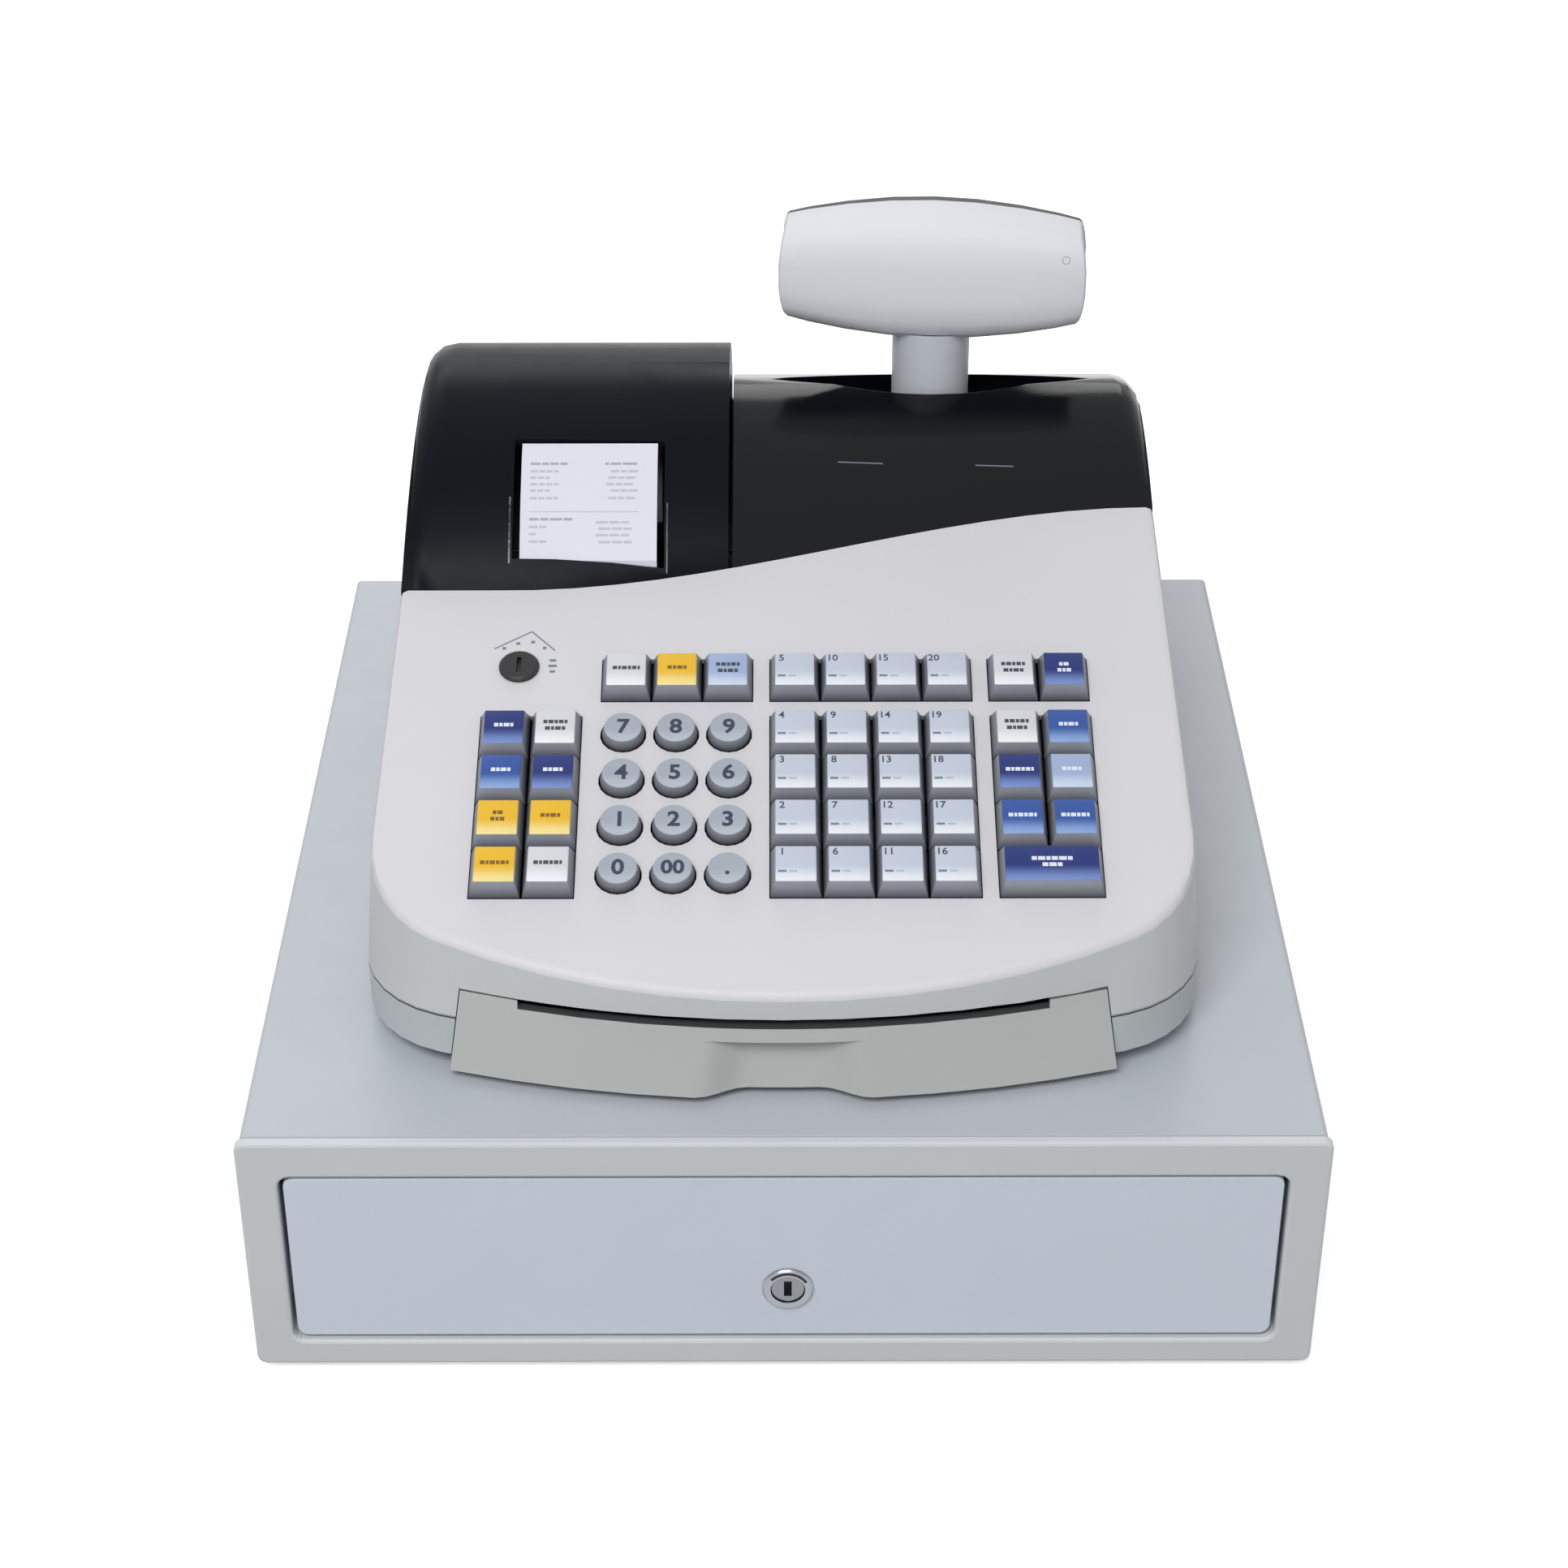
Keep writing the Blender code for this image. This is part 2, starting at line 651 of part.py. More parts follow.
def make_drawer():
    low = (-OPENING_WIDTH / 2 + DRAWER_SEAM, OPENING_BOTTOM + DRAWER_SEAM)
    high = (OPENING_WIDTH / 2 - DRAWER_SEAM, OPENING_TOP - DRAWER_SEAM)
    face = rounded_rectangle(low, high, OPENING_CORNER - DRAWER_SEAM / 2, 5)
    panel = front_plate([face], PANEL_FRONT_Y, PANEL_BACK_Y, "drawer_front")
    bevelled(panel, PANEL_EDGE, 2, lambda edge: at_level(edge, 1, PANEL_FRONT_Y))
    front = add("drawer_front", panel, (0.73, 0.76, 0.80), 0.4)
    hollow = front_plate(
        [inset_outline(face, STEEL)], PANEL_FRONT_Y + STEEL, PANEL_BACK_Y + OVERRUN, "panel_hollow"
    )
    cut(front, helper("panel_hollow", hollow))
    hole_radius = LOCK_BARREL_RADIUS + GAP
    cut(front, lock_hole(hole_radius, PANEL_FRONT_Y - OVERRUN, PANEL_BACK_Y + OVERRUN, "panel_lock_hole"))

    body = front_plate([drawer_profile()], DRAWER_FRONT_Y, DRAWER_BACK_Y, "drawer_box")
    drawer = add("drawer_box", body, (0.55, 0.57, 0.60), 0.5, 0.2)
    inside = DRAWER_HALF - THIN_STEEL / 2
    for name, y0 in (("drawer_end_front", DRAWER_FRONT_Y), ("drawer_end_back", DRAWER_BACK_Y - THIN_STEEL)):
        wall = box((-inside, y0, DRAWER_FLOOR), (inside, y0 + THIN_STEEL, DRAWER_WALL_TOP), name)
        join(drawer, helper(name, wall))
    cut(drawer, lock_hole(hole_radius, DRAWER_FRONT_Y - OVERRUN, DRAWER_FRONT_Y + OVERRUN, "box_lock_hole"))
    catch_half = LATCH_WIDTH / 2 + RUNNING_GAP
    catch_y = LATCH_CATCH_Y
    window = box(
        (LATCH_X - catch_half, catch_y - LATCH_HOOK / 2 - RUNNING_GAP, DRAWER_FLOOR - OVERRUN),
        (LATCH_X + catch_half, catch_y + LATCH_HOOK / 2 + RUNNING_GAP + LATCH_SWING, DRAWER_FLOOR + OVERRUN),
        "catch_window",
    )
    cut(drawer, helper("catch_window", window))


# Drawer release, on the floor pan behind and under the drawer

LATCH_X = 0.0
LATCH_PIVOT_Y = BACK_Y - LATCH_PIVOT_Y_FROM_BACK
LATCH_PIVOT_Z = FOOT_HEIGHT + STEEL + LATCH_PIN_RADIUS + 2 * RUNNING_GAP
LATCH_ARM = 0.0235
LATCH_LEAD = 0.0010
LATCH_SWING = 0.0008
LATCH_CATCH_Y = LATCH_PIVOT_Y - LATCH_ARM
LATCH_TAIL = 0.022
BRACKET = 0.003


def make_release():
    """The hook turns on a cross pin and drops out of the drawer's catch window."""
    t = LATCH_THICKNESS
    tip_z = DRAWER_FLOOR - RUNNING_GAP - LATCH_PIVOT_Z
    arm_top = tip_z - t
    outline = [
        (-LATCH_ARM - LATCH_HOOK / 2, arm_top - t),
        (0, -LATCH_PIN_RADIUS),
        (LATCH_TAIL, arm_top - t),
        (LATCH_TAIL, arm_top),
        (-LATCH_ARM + LATCH_HOOK / 2, arm_top),
        (-LATCH_ARM + LATCH_HOOK / 2 - LATCH_LEAD, tip_z),
        (-LATCH_ARM, tip_z),
        (-LATCH_ARM - LATCH_HOOK / 2, arm_top),
    ]
    half = LATCH_WIDTH / 2
    latch = add("latch_lever", side_plate([outline], -half, half, "latch_lever"), (0.6, 0.6, 0.62), 0.35, 0.9)
    pin_half = half + GAP + BRACKET
    pin = moved(cylinder(LATCH_PIN_RADIUS, -pin_half, pin_half, 12, "latch_pin"), ALONG_X)
    pin_helper = helper("latch_pin", pin)
    pin_helper.parent = latch
    join(latch, pin_helper)
    latch.location = (LATCH_X, LATCH_PIVOT_Y, LATCH_PIVOT_Z)

    base = bpy.data.objects["cabinet_base"]
    floor_top = FOOT_HEIGHT + STEEL
    for side in (-1, 1):
        inner = LATCH_X + side * (half + GAP)
        outer = LATCH_X + side * (half + GAP + BRACKET)
        ear = box(
            (min(inner, outer), LATCH_PIVOT_Y - 2 * LATCH_PIN_RADIUS, floor_top - STEEL / 2),
            (max(inner, outer), LATCH_PIVOT_Y + 2 * LATCH_PIN_RADIUS, LATCH_PIVOT_Z + 2 * LATCH_PIN_RADIUS),
            "latch_ear",
        )
        name = "latch_ear_left" if side < 0 else "latch_ear_right"
        join(base, helper(name, ear))
    gap_half = LATCH_PIN_RADIUS + GAP
    notch = box(
        (LATCH_X - pin_half - OVERRUN, LATCH_PIVOT_Y - gap_half, LATCH_PIVOT_Z - gap_half),
        (LATCH_X + pin_half + OVERRUN, LATCH_PIVOT_Y + gap_half, LATCH_PIVOT_Z + 3 * LATCH_PIN_RADIUS),
        "latch_notch",
    )
    cut(base, helper("latch_notch", notch))

    coil_y = LATCH_PIVOT_Y + LATCH_TAIL + COIL_RADIUS + 2 * RUNNING_GAP
    low = (LATCH_X - COIL_RADIUS - YOKE, coil_y - COIL_RADIUS, floor_top + GAP)
    high = (LATCH_X + COIL_RADIUS + YOKE, coil_y + COIL_RADIUS, floor_top + GAP + YOKE)
    solenoid = add("release_solenoid", box(low, high, "release_solenoid"), (0.72, 0.5, 0.2), 0.5, 0.4)
    coil = moved(
        cylinder(COIL_RADIUS, floor_top + GAP + YOKE / 2, floor_top + COIL_LENGTH, 20, "coil"),
        move(LATCH_X, coil_y, 0),
    )
    join(solenoid, helper("coil", coil))
    cap = box(
        (low[0], low[1], floor_top + COIL_LENGTH - YOKE / 2),
        (high[0], high[1], floor_top + COIL_LENGTH + YOKE / 2),
        "coil_cap",
    )
    join(solenoid, helper("coil_cap", cap))


# Till insert and note clips

TILL_HALF = DRAWER_HALF - THIN_STEEL - GAP
TILL_BOTTOM = DRAWER_FLOOR + THIN_STEEL + GAP
TILL_TOP = TILL_BOTTOM + TILL_HEIGHT
TILL_FRONT_Y = DRAWER_FRONT_Y + TILL_FRONT_ROOM
TILL_BACK_Y = TILL_FRONT_Y + TILL_LENGTH
COLUMN_PITCH = (2 * TILL_HALF - TILL_WALL) / COLUMNS
CUP_PITCH = CUP_LENGTH + TILL_WALL
BAY_FRONT_Y = TILL_FRONT_Y + TILL_WALL + CUP_ROWS * CUP_PITCH
BAY_BACK_Y = TILL_BACK_Y - TILL_WALL
CLIP_Y = BAY_BACK_Y - CLIP_SET_BACK
CLIP_Z = TILL_TOP - CLIP_BARREL_RADIUS - GAP


def column_x(column):
    return -TILL_HALF + TILL_WALL / 2 + COLUMN_PITCH * (column + 0.5)


def pocket(x, y0, y1, scoop):
    """One compartment's inside; a coin cup has scooped ends, so that coins slide out."""
    half = (COLUMN_PITCH - TILL_WALL) / 2
    mesh = box((x - half, y0, TILL_BOTTOM + TILL_WALL), (x + half, y1, TILL_TOP + OVERRUN), "pocket")
    floor = TILL_BOTTOM + TILL_WALL
    bevelled(mesh, BAY_CORNER, 2, lambda edge: abs(edge.verts[0].co.z - edge.verts[1].co.z) > TILL_WALL)
    if scoop:
        bevelled(
            mesh,
            CUP_SCOOP,
            4,
            lambda edge: at_level(edge, 2, floor) and abs(edge.verts[0].co.y - edge.verts[1].co.y) < GAP
            and edge.calc_length() > half,
        )
    return mesh


def make_till():
    block = box((-TILL_HALF, TILL_FRONT_Y, TILL_BOTTOM), (TILL_HALF, TILL_BACK_Y, TILL_TOP), "till_insert")
    bevelled(block, BAY_CORNER, 2, lambda edge: abs(edge.verts[0].co.z - edge.verts[1].co.z) > TILL_WALL)
    till = add("till_insert", block, (0.13, 0.13, 0.14), 0.55)
    pockets = []
    for column in range(COLUMNS):
        x = column_x(column)
        for row in range(CUP_ROWS):
            y0 = TILL_FRONT_Y + TILL_WALL + row * CUP_PITCH
            pockets.append(pocket(x, y0, y0 + CUP_LENGTH, True))
        pockets.append(pocket(x, BAY_FRONT_Y, BAY_BACK_Y, False))
    cut(till, helper("pockets", joined_meshes("pockets", pockets)))

    barrel_half = CLIP_BARREL_WIDTH / 2
    ear_low = CLIP_Z - 3 * CLIP_BARREL_RADIUS
    ears, notches = [], []
    for column in range(COLUMNS):
        x = column_x(column)
        for side in (-1, 1):
            inner = x + side * (barrel_half + GAP)
            outer = inner + side * CLIP_EAR
            ears.append(
                box(
                    (min(inner, outer), CLIP_Y - 2 * CLIP_PIN_RADIUS, ear_low),
                    (max(inner, outer), BAY_BACK_Y + TILL_WALL / 2, TILL_TOP),
                    "ear",
                )
            )
        reach = barrel_half + CLIP_EAR + OVERRUN
        half = CLIP_PIN_RADIUS + GAP
        notches.append(box((x - reach, CLIP_Y - half, CLIP_Z - half), (x + reach, CLIP_Y + half, TILL_TOP + OVERRUN)))
    join(till, helper("clip_ears", joined_meshes("clip_ears", ears)))
    cut(till, helper("clip_notches", joined_meshes("clip_notches", notches)))
    for column in range(COLUMNS):
        note_clip(f"note_clip_{column + 1}", column_x(column))


def note_clip(name, x):
    """A flat arm on a barrel with a pin, and a wide paddle that lies on the notes."""
    drop = TILL_BOTTOM + TILL_WALL + CLIP_FLOOR_GAP - CLIP_Z
    r, t = CLIP_BARREL_RADIUS, CLIP_ARM
    side = [
        (r / 3, -r / 2),
        (r / 3, r / 2),
        (-r / 2, r / 2),
        (-CLIP_REACH / 2, drop / 2 + t),
        (-CLIP_REACH + CLIP_PADDLE_LENGTH, drop + t),
        (-CLIP_REACH + CLIP_PADDLE_LENGTH / 2, drop + t),
        (-CLIP_REACH + CLIP_PADDLE_LENGTH / 2, drop + GAP),
        (-CLIP_REACH + CLIP_PADDLE_LENGTH, drop + GAP),
        (-CLIP_REACH / 2, drop / 2),
    ]
    arm_half = CLIP_ARM_WIDTH / 2
    clip = add(name, side_plate([side], -arm_half, arm_half, name), (0.75, 0.75, 0.77), 0.3, 0.8)
    barrel_half = CLIP_BARREL_WIDTH / 2
    pin_half = barrel_half + GAP + CLIP_EAR
    pieces = [
        (f"{name}_barrel", moved(cylinder(r, -barrel_half, barrel_half, 10), ALONG_X)),
        (f"{name}_pin", moved(cylinder(CLIP_PIN_RADIUS, -pin_half, pin_half, 8), ALONG_X)),
        (
            f"{name}_paddle",
            box(
                (-CLIP_PADDLE_WIDTH / 2, -CLIP_REACH, drop),
                (CLIP_PADDLE_WIDTH / 2, -CLIP_REACH + CLIP_PADDLE_LENGTH, drop + t + GAP),
            ),
        ),
    ]
    for piece_name, mesh in pieces:
        piece = helper(piece_name, mesh)
        piece.parent = clip
        join(clip, piece)
    clip.location = (x, CLIP_Y, CLIP_Z)


# Lock in the drawer front

def make_lock():
    ring_front = FRONT_Y
    seat = PANEL_FRONT_Y - GAP
    bore = PLUG_RADIUS + GAP
    back = seat + LOCK_BARREL_LENGTH
    chamfer = (seat - ring_front) / 2
    profile = [
        (bore, -ring_front),
        (LOCK_RING_RADIUS - chamfer, -ring_front),
        (LOCK_RING_RADIUS, -ring_front - chamfer),
        (LOCK_RING_RADIUS, -seat),
        (LOCK_BARREL_RADIUS, -seat),
        (LOCK_BARREL_RADIUS, -back),
        (bore, -back),
    ]
    mesh = moved(turned("lock_barrel", profile, 24, closed=True), ABOUT_X, move(LOCK_X, 0, LOCK_Z))
    add("lock_barrel", mesh, (0.8, 0.8, 0.8), 0.15, 1.0, radians(30))

    face = FRONT_Y + PLUG_STEP
    length = back - face + LOCK_CAM_THICKNESS + GAP
    plug_mesh = moved(cylinder(PLUG_RADIUS, 0, length, 20, "lock_plug"), ALONG_Y)
    plug = add("lock_plug", plug_mesh, (0.75, 0.75, 0.75), 0.2, 1.0, radians(30))
    keyway = box(
        (-KEYWAY_WIDTH / 2, -OVERRUN, -KEYWAY_HEIGHT / 2),
        (KEYWAY_WIDTH / 2, KEYWAY_DEPTH, KEYWAY_HEIGHT / 2),
        "keyway",
    )
    cam = box(
        (-LOCK_CAM_WIDTH / 2, length - LOCK_CAM_THICKNESS, -LOCK_CAM_WIDTH / 2),
        (LOCK_CAM_WIDTH / 2, length, LOCK_CAM_LENGTH),
        "lock_cam",
    )
    for piece, action in ((helper("lock_cam", cam), join), (helper("keyway", keyway), cut)):
        piece.parent = plug
        action(plug, piece)
    plug.location = (LOCK_X, face, LOCK_Z)


# Register housing

def plan_outline(half, nose, bow, inset):
    """A plan outline: bowed nose, round corners, straight sides and a flat back."""
    half, nose, bow, corner = half - inset, nose + inset, bow - inset, CORNER_RADIUS - inset
    bow_y = nose + bow
    corner_x = half - corner
    corner_y = bow_y - sqrt((bow - corner) ** 2 - corner_x ** 2)
    lean = asin(corner_x / (bow - corner))
    back_y = HOUSING_BACK_Y - inset
    back_corner = max(BACK_CORNER_RADIUS - inset, BACK_CORNER_RADIUS / 4)
    front = arc((0, bow_y), bow, -pi / 2 - lean, -pi / 2 + lean, 13)
    right = arc((corner_x, corner_y), corner, -pi / 2 + lean, 0, 7)[1:]
    left = arc((-corner_x, corner_y), corner, -pi, -pi / 2 - lean, 7)[:-1]
    back_right = arc((half - back_corner, back_y - back_corner), back_corner, 0, pi / 2, 4)
    back_left = arc((-half + back_corner, back_y - back_corner), back_corner, pi / 2, pi, 4)
    return left + front + right + back_right + back_left


def outline_at(z, inset=0.0):
    """The housing's plan outline at a height, on straight lines through its two named outlines."""
    share = (z - PARTING_Z) / (UPPER_OUTLINE_Z - PARTING_Z)
    low = plan_outline(LOW_HALF_WIDTH, LOW_NOSE_Y, LOW_NOSE_RADIUS, inset)
    high = plan_outline(HIGH_HALF_WIDTH, HIGH_NOSE_Y, HIGH_NOSE_RADIUS, inset)
    return [(x0 + share * (x1 - x0), y0 + share * (y1 - y0)) for (x0, y0), (x1, y1) in zip(low, high)]


def block(low, high, inset=0.0, name="block"):
    """The housing's outline from one height to another."""
    sections = [[(x, y, z) for x, y in outline_at(z, inset)] for z in (low, high)]
    return loft(sections, name)


def deck_z(y):
    return DECK_NOSE_Z + (y - DECK_NOSE_Y) * tan(DECK_SLOPE)


def under_deck(mesh, drop=0.0):
    """The part of a mesh below the deck plane, or below a plane that is this far under it."""
    normal = Vector((0, -sin(DECK_SLOPE), cos(DECK_SLOPE)))
    point = Vector((0, DECK_NOSE_Y, DECK_NOSE_Z)) - normal * drop
    work = bmesh.new()
    work.from_mesh(mesh)
    everything = work.verts[:] + work.edges[:] + work.faces[:]
    bmesh.ops.bisect_plane(work, geom=everything, plane_co=point, plane_no=normal, clear_outer=True)
    rim = [edge for edge in work.edges if len(edge.link_faces) == 1]
    bmesh.ops.holes_fill(work, edges=rim)
    bmesh.ops.recalc_face_normals(work, faces=work.faces)
    work.to_mesh(mesh)
    work.free()
    return mesh


def on_deck(edge):
    return all(abs(vert.co.z - deck_z(vert.co.y)) < GAP / 4 for vert in edge.verts) and (
        min(face.normal.z for face in edge.link_faces) < 0.5
    )


def boundary_y(x):
    """The S curve where the black covers meet the deck."""
    share = (x - BOUNDARY_START_X) / (BOUNDARY_END_X - BOUNDARY_START_X)
    share = min(max(share, 0.0), 1.0)
    eased = share * share * (3 - 2 * share)
    return BOUNDARY_LEFT_Y + eased * (BOUNDARY_RIGHT_Y - BOUNDARY_LEFT_Y)


def behind_boundary(low, high, shift=0.0, name="behind"):
    """All that lies behind the S curve between two heights."""
    reach = HALF_WIDTH
    steps = 24
    curve = [-reach + 2 * reach * i / steps for i in range(steps + 1)]
    plan = [(x, boundary_y(x) + shift) for x in curve]
    plan += [(reach, BACK_Y + reach), (-reach, BACK_Y + reach)]
    return moved(plate([plan], high - low, name), move(z=low))


def tray_bay(grow, low, high, name):
    """The space of the tray's panel, cut right through the nose."""
    top, bottom = TRAY_TOP_HALF + grow, TRAY_BOTTOM_HALF + grow
    lean = (bottom - top) / (TRAY_TOP_Z - TRAY_BOTTOM_Z)
    low_half = bottom - lean * (low - TRAY_BOTTOM_Z)
    high_half = bottom - lean * (high - TRAY_BOTTOM_Z)
    outline = [(-low_half, low), (low_half, low), (high_half, high), (-high_half, high)]
    return front_plate([outline], LOW_NOSE_Y - CORNER_RADIUS, PANEL_SEAT_Y, name)


PANEL_SEAT_Y = LOW_NOSE_Y + PANEL_SEAT
DECK_FRAME = Matrix.Translation((0, DECK_NOSE_Y, DECK_NOSE_Z)) @ Matrix.Rotation(DECK_SLOPE, 4, "X")


def block_spans():
    """Each group of square keys: name, first column's u, columns, first row's v, rows."""
    return [
        ("upper_left", TOP_BLOCK_U, 3, TOP_ROW_V, 1),
        ("upper_middle", DEPARTMENT_U, 4, TOP_ROW_V, 1),
        ("upper_right", RIGHT_BLOCK_U, 2, TOP_ROW_V, 1),
        ("left", LEFT_BLOCK_U, 2, MAIN_ROWS_V, 4),
        ("department", DEPARTMENT_U, 4, MAIN_ROWS_V, 4),
        ("right", RIGHT_BLOCK_U, 2, MAIN_ROWS_V, 4),
    ]


def number_places():
    """The twelve round keys, from the bottom left: name, u, v."""
    names = [["0", "00", "point"], ["1", "2", "3"], ["4", "5", "6"], ["7", "8", "9"]]
    return [
        (names[row][column], NUMBER_BLOCK_U + column * ROUND_PITCH_U, NUMBER_BLOCK_V + row * ROUND_PITCH_V)
        for row in range(4)
        for column in range(3)
    ]


def deck_cutters():
    """The wells and holes through the deck, as cutters in deck axes."""
    found = []
    top = KEY_TOP_W
    bottom = -WALL - OVERRUN
    for _, u, columns, v, rows in block_spans():
        half_u = KEY_PITCH / 2 - KEY_GAP / 2 + WELL_MARGIN
        half_v = KEY_ROW_PITCH / 2 - KEY_GAP / 2 + WELL_MARGIN
        low = (u - half_u, v - half_v, bottom)
        high = (u + (columns - 1) * KEY_PITCH + half_u, v + (rows - 1) * KEY_ROW_PITCH + half_v, top)
        found.append(box(low, high))
    for _, u, v in number_places():
        hole = cylinder(ROUND_KEY_RADIUS + WELL_MARGIN + GAP, bottom, top, 18)
        found.append(moved(hole, move(u, v)))
    found.append(moved(cylinder(SWITCH_RADIUS - SWITCH_RISE + GAP, bottom, top, 20), move(SWITCH_U, SWITCH_V)))
    return [moved(mesh, DECK_FRAME) for mesh in found]


def boss_places():
    """Where the keyboard plate hangs from the deck: between the blocks of keys."""
    v_low = MAIN_ROWS_V - KEY_ROW_PITCH / 2 - 3 * BOSS_RADIUS
    v_mid = (MAIN_ROWS_V + 3.5 * KEY_ROW_PITCH + TOP_ROW_V - KEY_ROW_PITCH / 2) / 2
    u_right = RIGHT_BLOCK_U + 1.5 * KEY_PITCH + 2 * BOSS_RADIUS
    u_left = LEFT_BLOCK_U + KEY_PITCH
    v_high = TOP_ROW_V + KEY_ROW_PITCH / 2 + 2 * BOSS_RADIUS
    return [(u_left, v_low), (0, v_low), (u_right, v_low), (0, v_high), (u_right, v_high)]


def make_upper_case():
    outer = under_deck(block(PARTING_Z + GAP, TALL_Z, name="upper_case"))
    bevelled(outer, DECK_EDGE_RADIUS, 2, on_deck)
    case = add("upper_case", outer, (0.86, 0.86, 0.87), 0.5)
    cut(case, helper("covers_place", behind_boundary(SHOULDER_Z, TALL_Z + DECK_NOSE_Z, 0.0, "covers_place")))
    inside = under_deck(block(PARTING_Z - OVERRUN, TALL_Z, WALL, "case_inside"), WALL)
    cut(case, helper("case_inside", inside))
    cut(case, helper("key_wells", joined_meshes("key_wells", deck_cutters())))
    tray_top = TRAY_TOP_Z + GAP
    cut(case, helper("tray_notch", tray_bay(GAP, PARTING_Z - OVERRUN, tray_top, "tray_notch")))
    vents = []
    for i in range(VENT_COUNT):
        x = VENT_X + (i - (VENT_COUNT - 1) / 2) * VENT_PITCH
        low = (x - VENT_WIDTH / 2, HOUSING_BACK_Y - 2 * WALL, VENT_LOW_Z)
        high = (x + VENT_WIDTH / 2, HOUSING_BACK_Y + OVERRUN, VENT_LOW_Z + VENT_HEIGHT)
        vents.append(box(low, high))
    cut(case, helper("back_vents", joined_meshes("back_vents", vents)))
    bosses = [
        moved(cylinder(BOSS_RADIUS, PLATE_TOP_W + GAP, -WALL / 2, 10), move(u, v), DECK_FRAME)
        for u, v in boss_places()
    ]
    join(case, helper("plate_bosses", joined_meshes("plate_bosses", bosses)))


def make_lower_case():
    sections = []
    for z, inset in (
        (CASE_FLOOR_Z, CASE_UNDERCUT),
        (CASE_BOTTOM_Z, CASE_UNDERCUT),
        (CASE_BOTTOM_Z, 0.0),
        (PARTING_Z, 0.0),
    ):
        sections.append([(x, y, z) for x, y in outline_at(PARTING_Z, inset)])
    case = add("lower_case", loft(sections, "lower_case"), (0.80, 0.81, 0.82), 0.5)
    inner = []
    for z, inset in (
        (CASE_FLOOR_Z + WALL, CASE_UNDERCUT + WALL),
        (CASE_BOTTOM_Z + WALL, CASE_UNDERCUT + WALL),
        (CASE_BOTTOM_Z + WALL, WALL),
        (PARTING_Z + OVERRUN, WALL),
    ):
        inner.append([(x, y, z) for x, y in outline_at(PARTING_Z, inset)])
    cut(case, helper("lower_inside", loft(inner, "lower_inside")))
    notch = tray_bay(GAP, TRAY_BOTTOM_Z - OVERRUN, PARTING_Z + OVERRUN, "lower_tray_notch")
    cut(case, helper("lower_tray_notch", notch))
    stud_x, stud_y = LOW_HALF_WIDTH - STUD_INSET, HOUSING_BACK_Y - STUD_INSET
    lead_z = (CASE_BOTTOM_Z + PARTING_Z) / 2
    lead = cylinder(LEAD_HOLE_RADIUS, HOUSING_BACK_Y - 2 * WALL, BACK_Y, 16, "lead_hole")
    cut(case, helper("lead_hole", moved(lead, ALONG_Y, move(x=LEAD_HOLE_X, z=lead_z))))
    studs = []
    for x in (-stud_x, stud_x):
        for y in (-stud_y + STUD_INSET, stud_y):
            stud = cylinder(STUD_RADIUS, CABINET_HEIGHT + GAP, CASE_FLOOR_Z + WALL / 2, 16)
            studs.append(moved(stud, move(x, y)))
    join(case, helper("studs", joined_meshes("studs", studs)))
    post_low = CASE_FLOOR_Z + WALL / 2
    posts = []
    for x in (-BOARD_WIDTH / 2, BOARD_WIDTH / 2):
        for y in (-BOARD_LENGTH / 2, BOARD_LENGTH / 2):
            post = cylinder(BOSS_RADIUS, post_low, BOARD_Z - GAP, 10)
            inward = (BOARD_X + x * BOARD_POST_SHARE, BOARD_Y + y * BOARD_POST_SHARE)
            posts.append(moved(post, move(*inward)))
    join(case, helper("board_posts", joined_meshes("board_posts", posts)))


def make_board():
    low = (BOARD_X - BOARD_WIDTH / 2, BOARD_Y - BOARD_LENGTH / 2, BOARD_Z)
    high = (BOARD_X + BOARD_WIDTH / 2, BOARD_Y + BOARD_LENGTH / 2, BOARD_Z + BOARD_THICKNESS)
    board = add("main_board", box(low, high, "main_board"), (0.10, 0.35, 0.18), 0.5)
    chip, tall = CHIP_HALF, CHIP_HEIGHT
    chips = []
    for x_share, y_share in ((-0.3, 0.2), (0.05, -0.15), (0.3, 0.2)):
        x, y = BOARD_X + x_share * BOARD_WIDTH, BOARD_Y + y_share * BOARD_LENGTH
        base = BOARD_Z + BOARD_THICKNESS / 2
        chips.append(box((x - chip, y - chip / 2, base), (x + chip, y + chip / 2, base + tall)))
    join(board, helper("chips", joined_meshes("chips", chips)))


# Slip tray

def nose_line(z, inset, places):
    """Points of the housing's nose at a height, at the given places across."""
    share = (z - PARTING_Z) / (UPPER_OUTLINE_Z - PARTING_Z)
    nose = LOW_NOSE_Y + share * (HIGH_NOSE_Y - LOW_NOSE_Y) + inset
    bow = LOW_NOSE_RADIUS + share * (HIGH_NOSE_RADIUS - LOW_NOSE_RADIUS) - inset
    return [(x, nose + bow - sqrt(bow ** 2 - x ** 2)) for x in places]


def scallop_half(z):
    share_down = (SCALLOP_TOP_Z - min(z, SCALLOP_TOP_Z)) / (SCALLOP_TOP_Z - TRAY_BOTTOM_Z)
    return SCALLOP_HALF_TOP + share_down * (SCALLOP_HALF_BOTTOM - SCALLOP_HALF_TOP)


def scallop_depth(x, z):
    """How far the finger scallop is pressed into the panel at a place."""
    if z > SCALLOP_TOP_Z - SCALLOP_LIP / 2:
        return 0.0
    share = min(max((scallop_half(z) - abs(x)) / SCALLOP_SOFT, 0.0), 1.0)
    return SCALLOP_DEPTH * share * share * (3 - 2 * share)


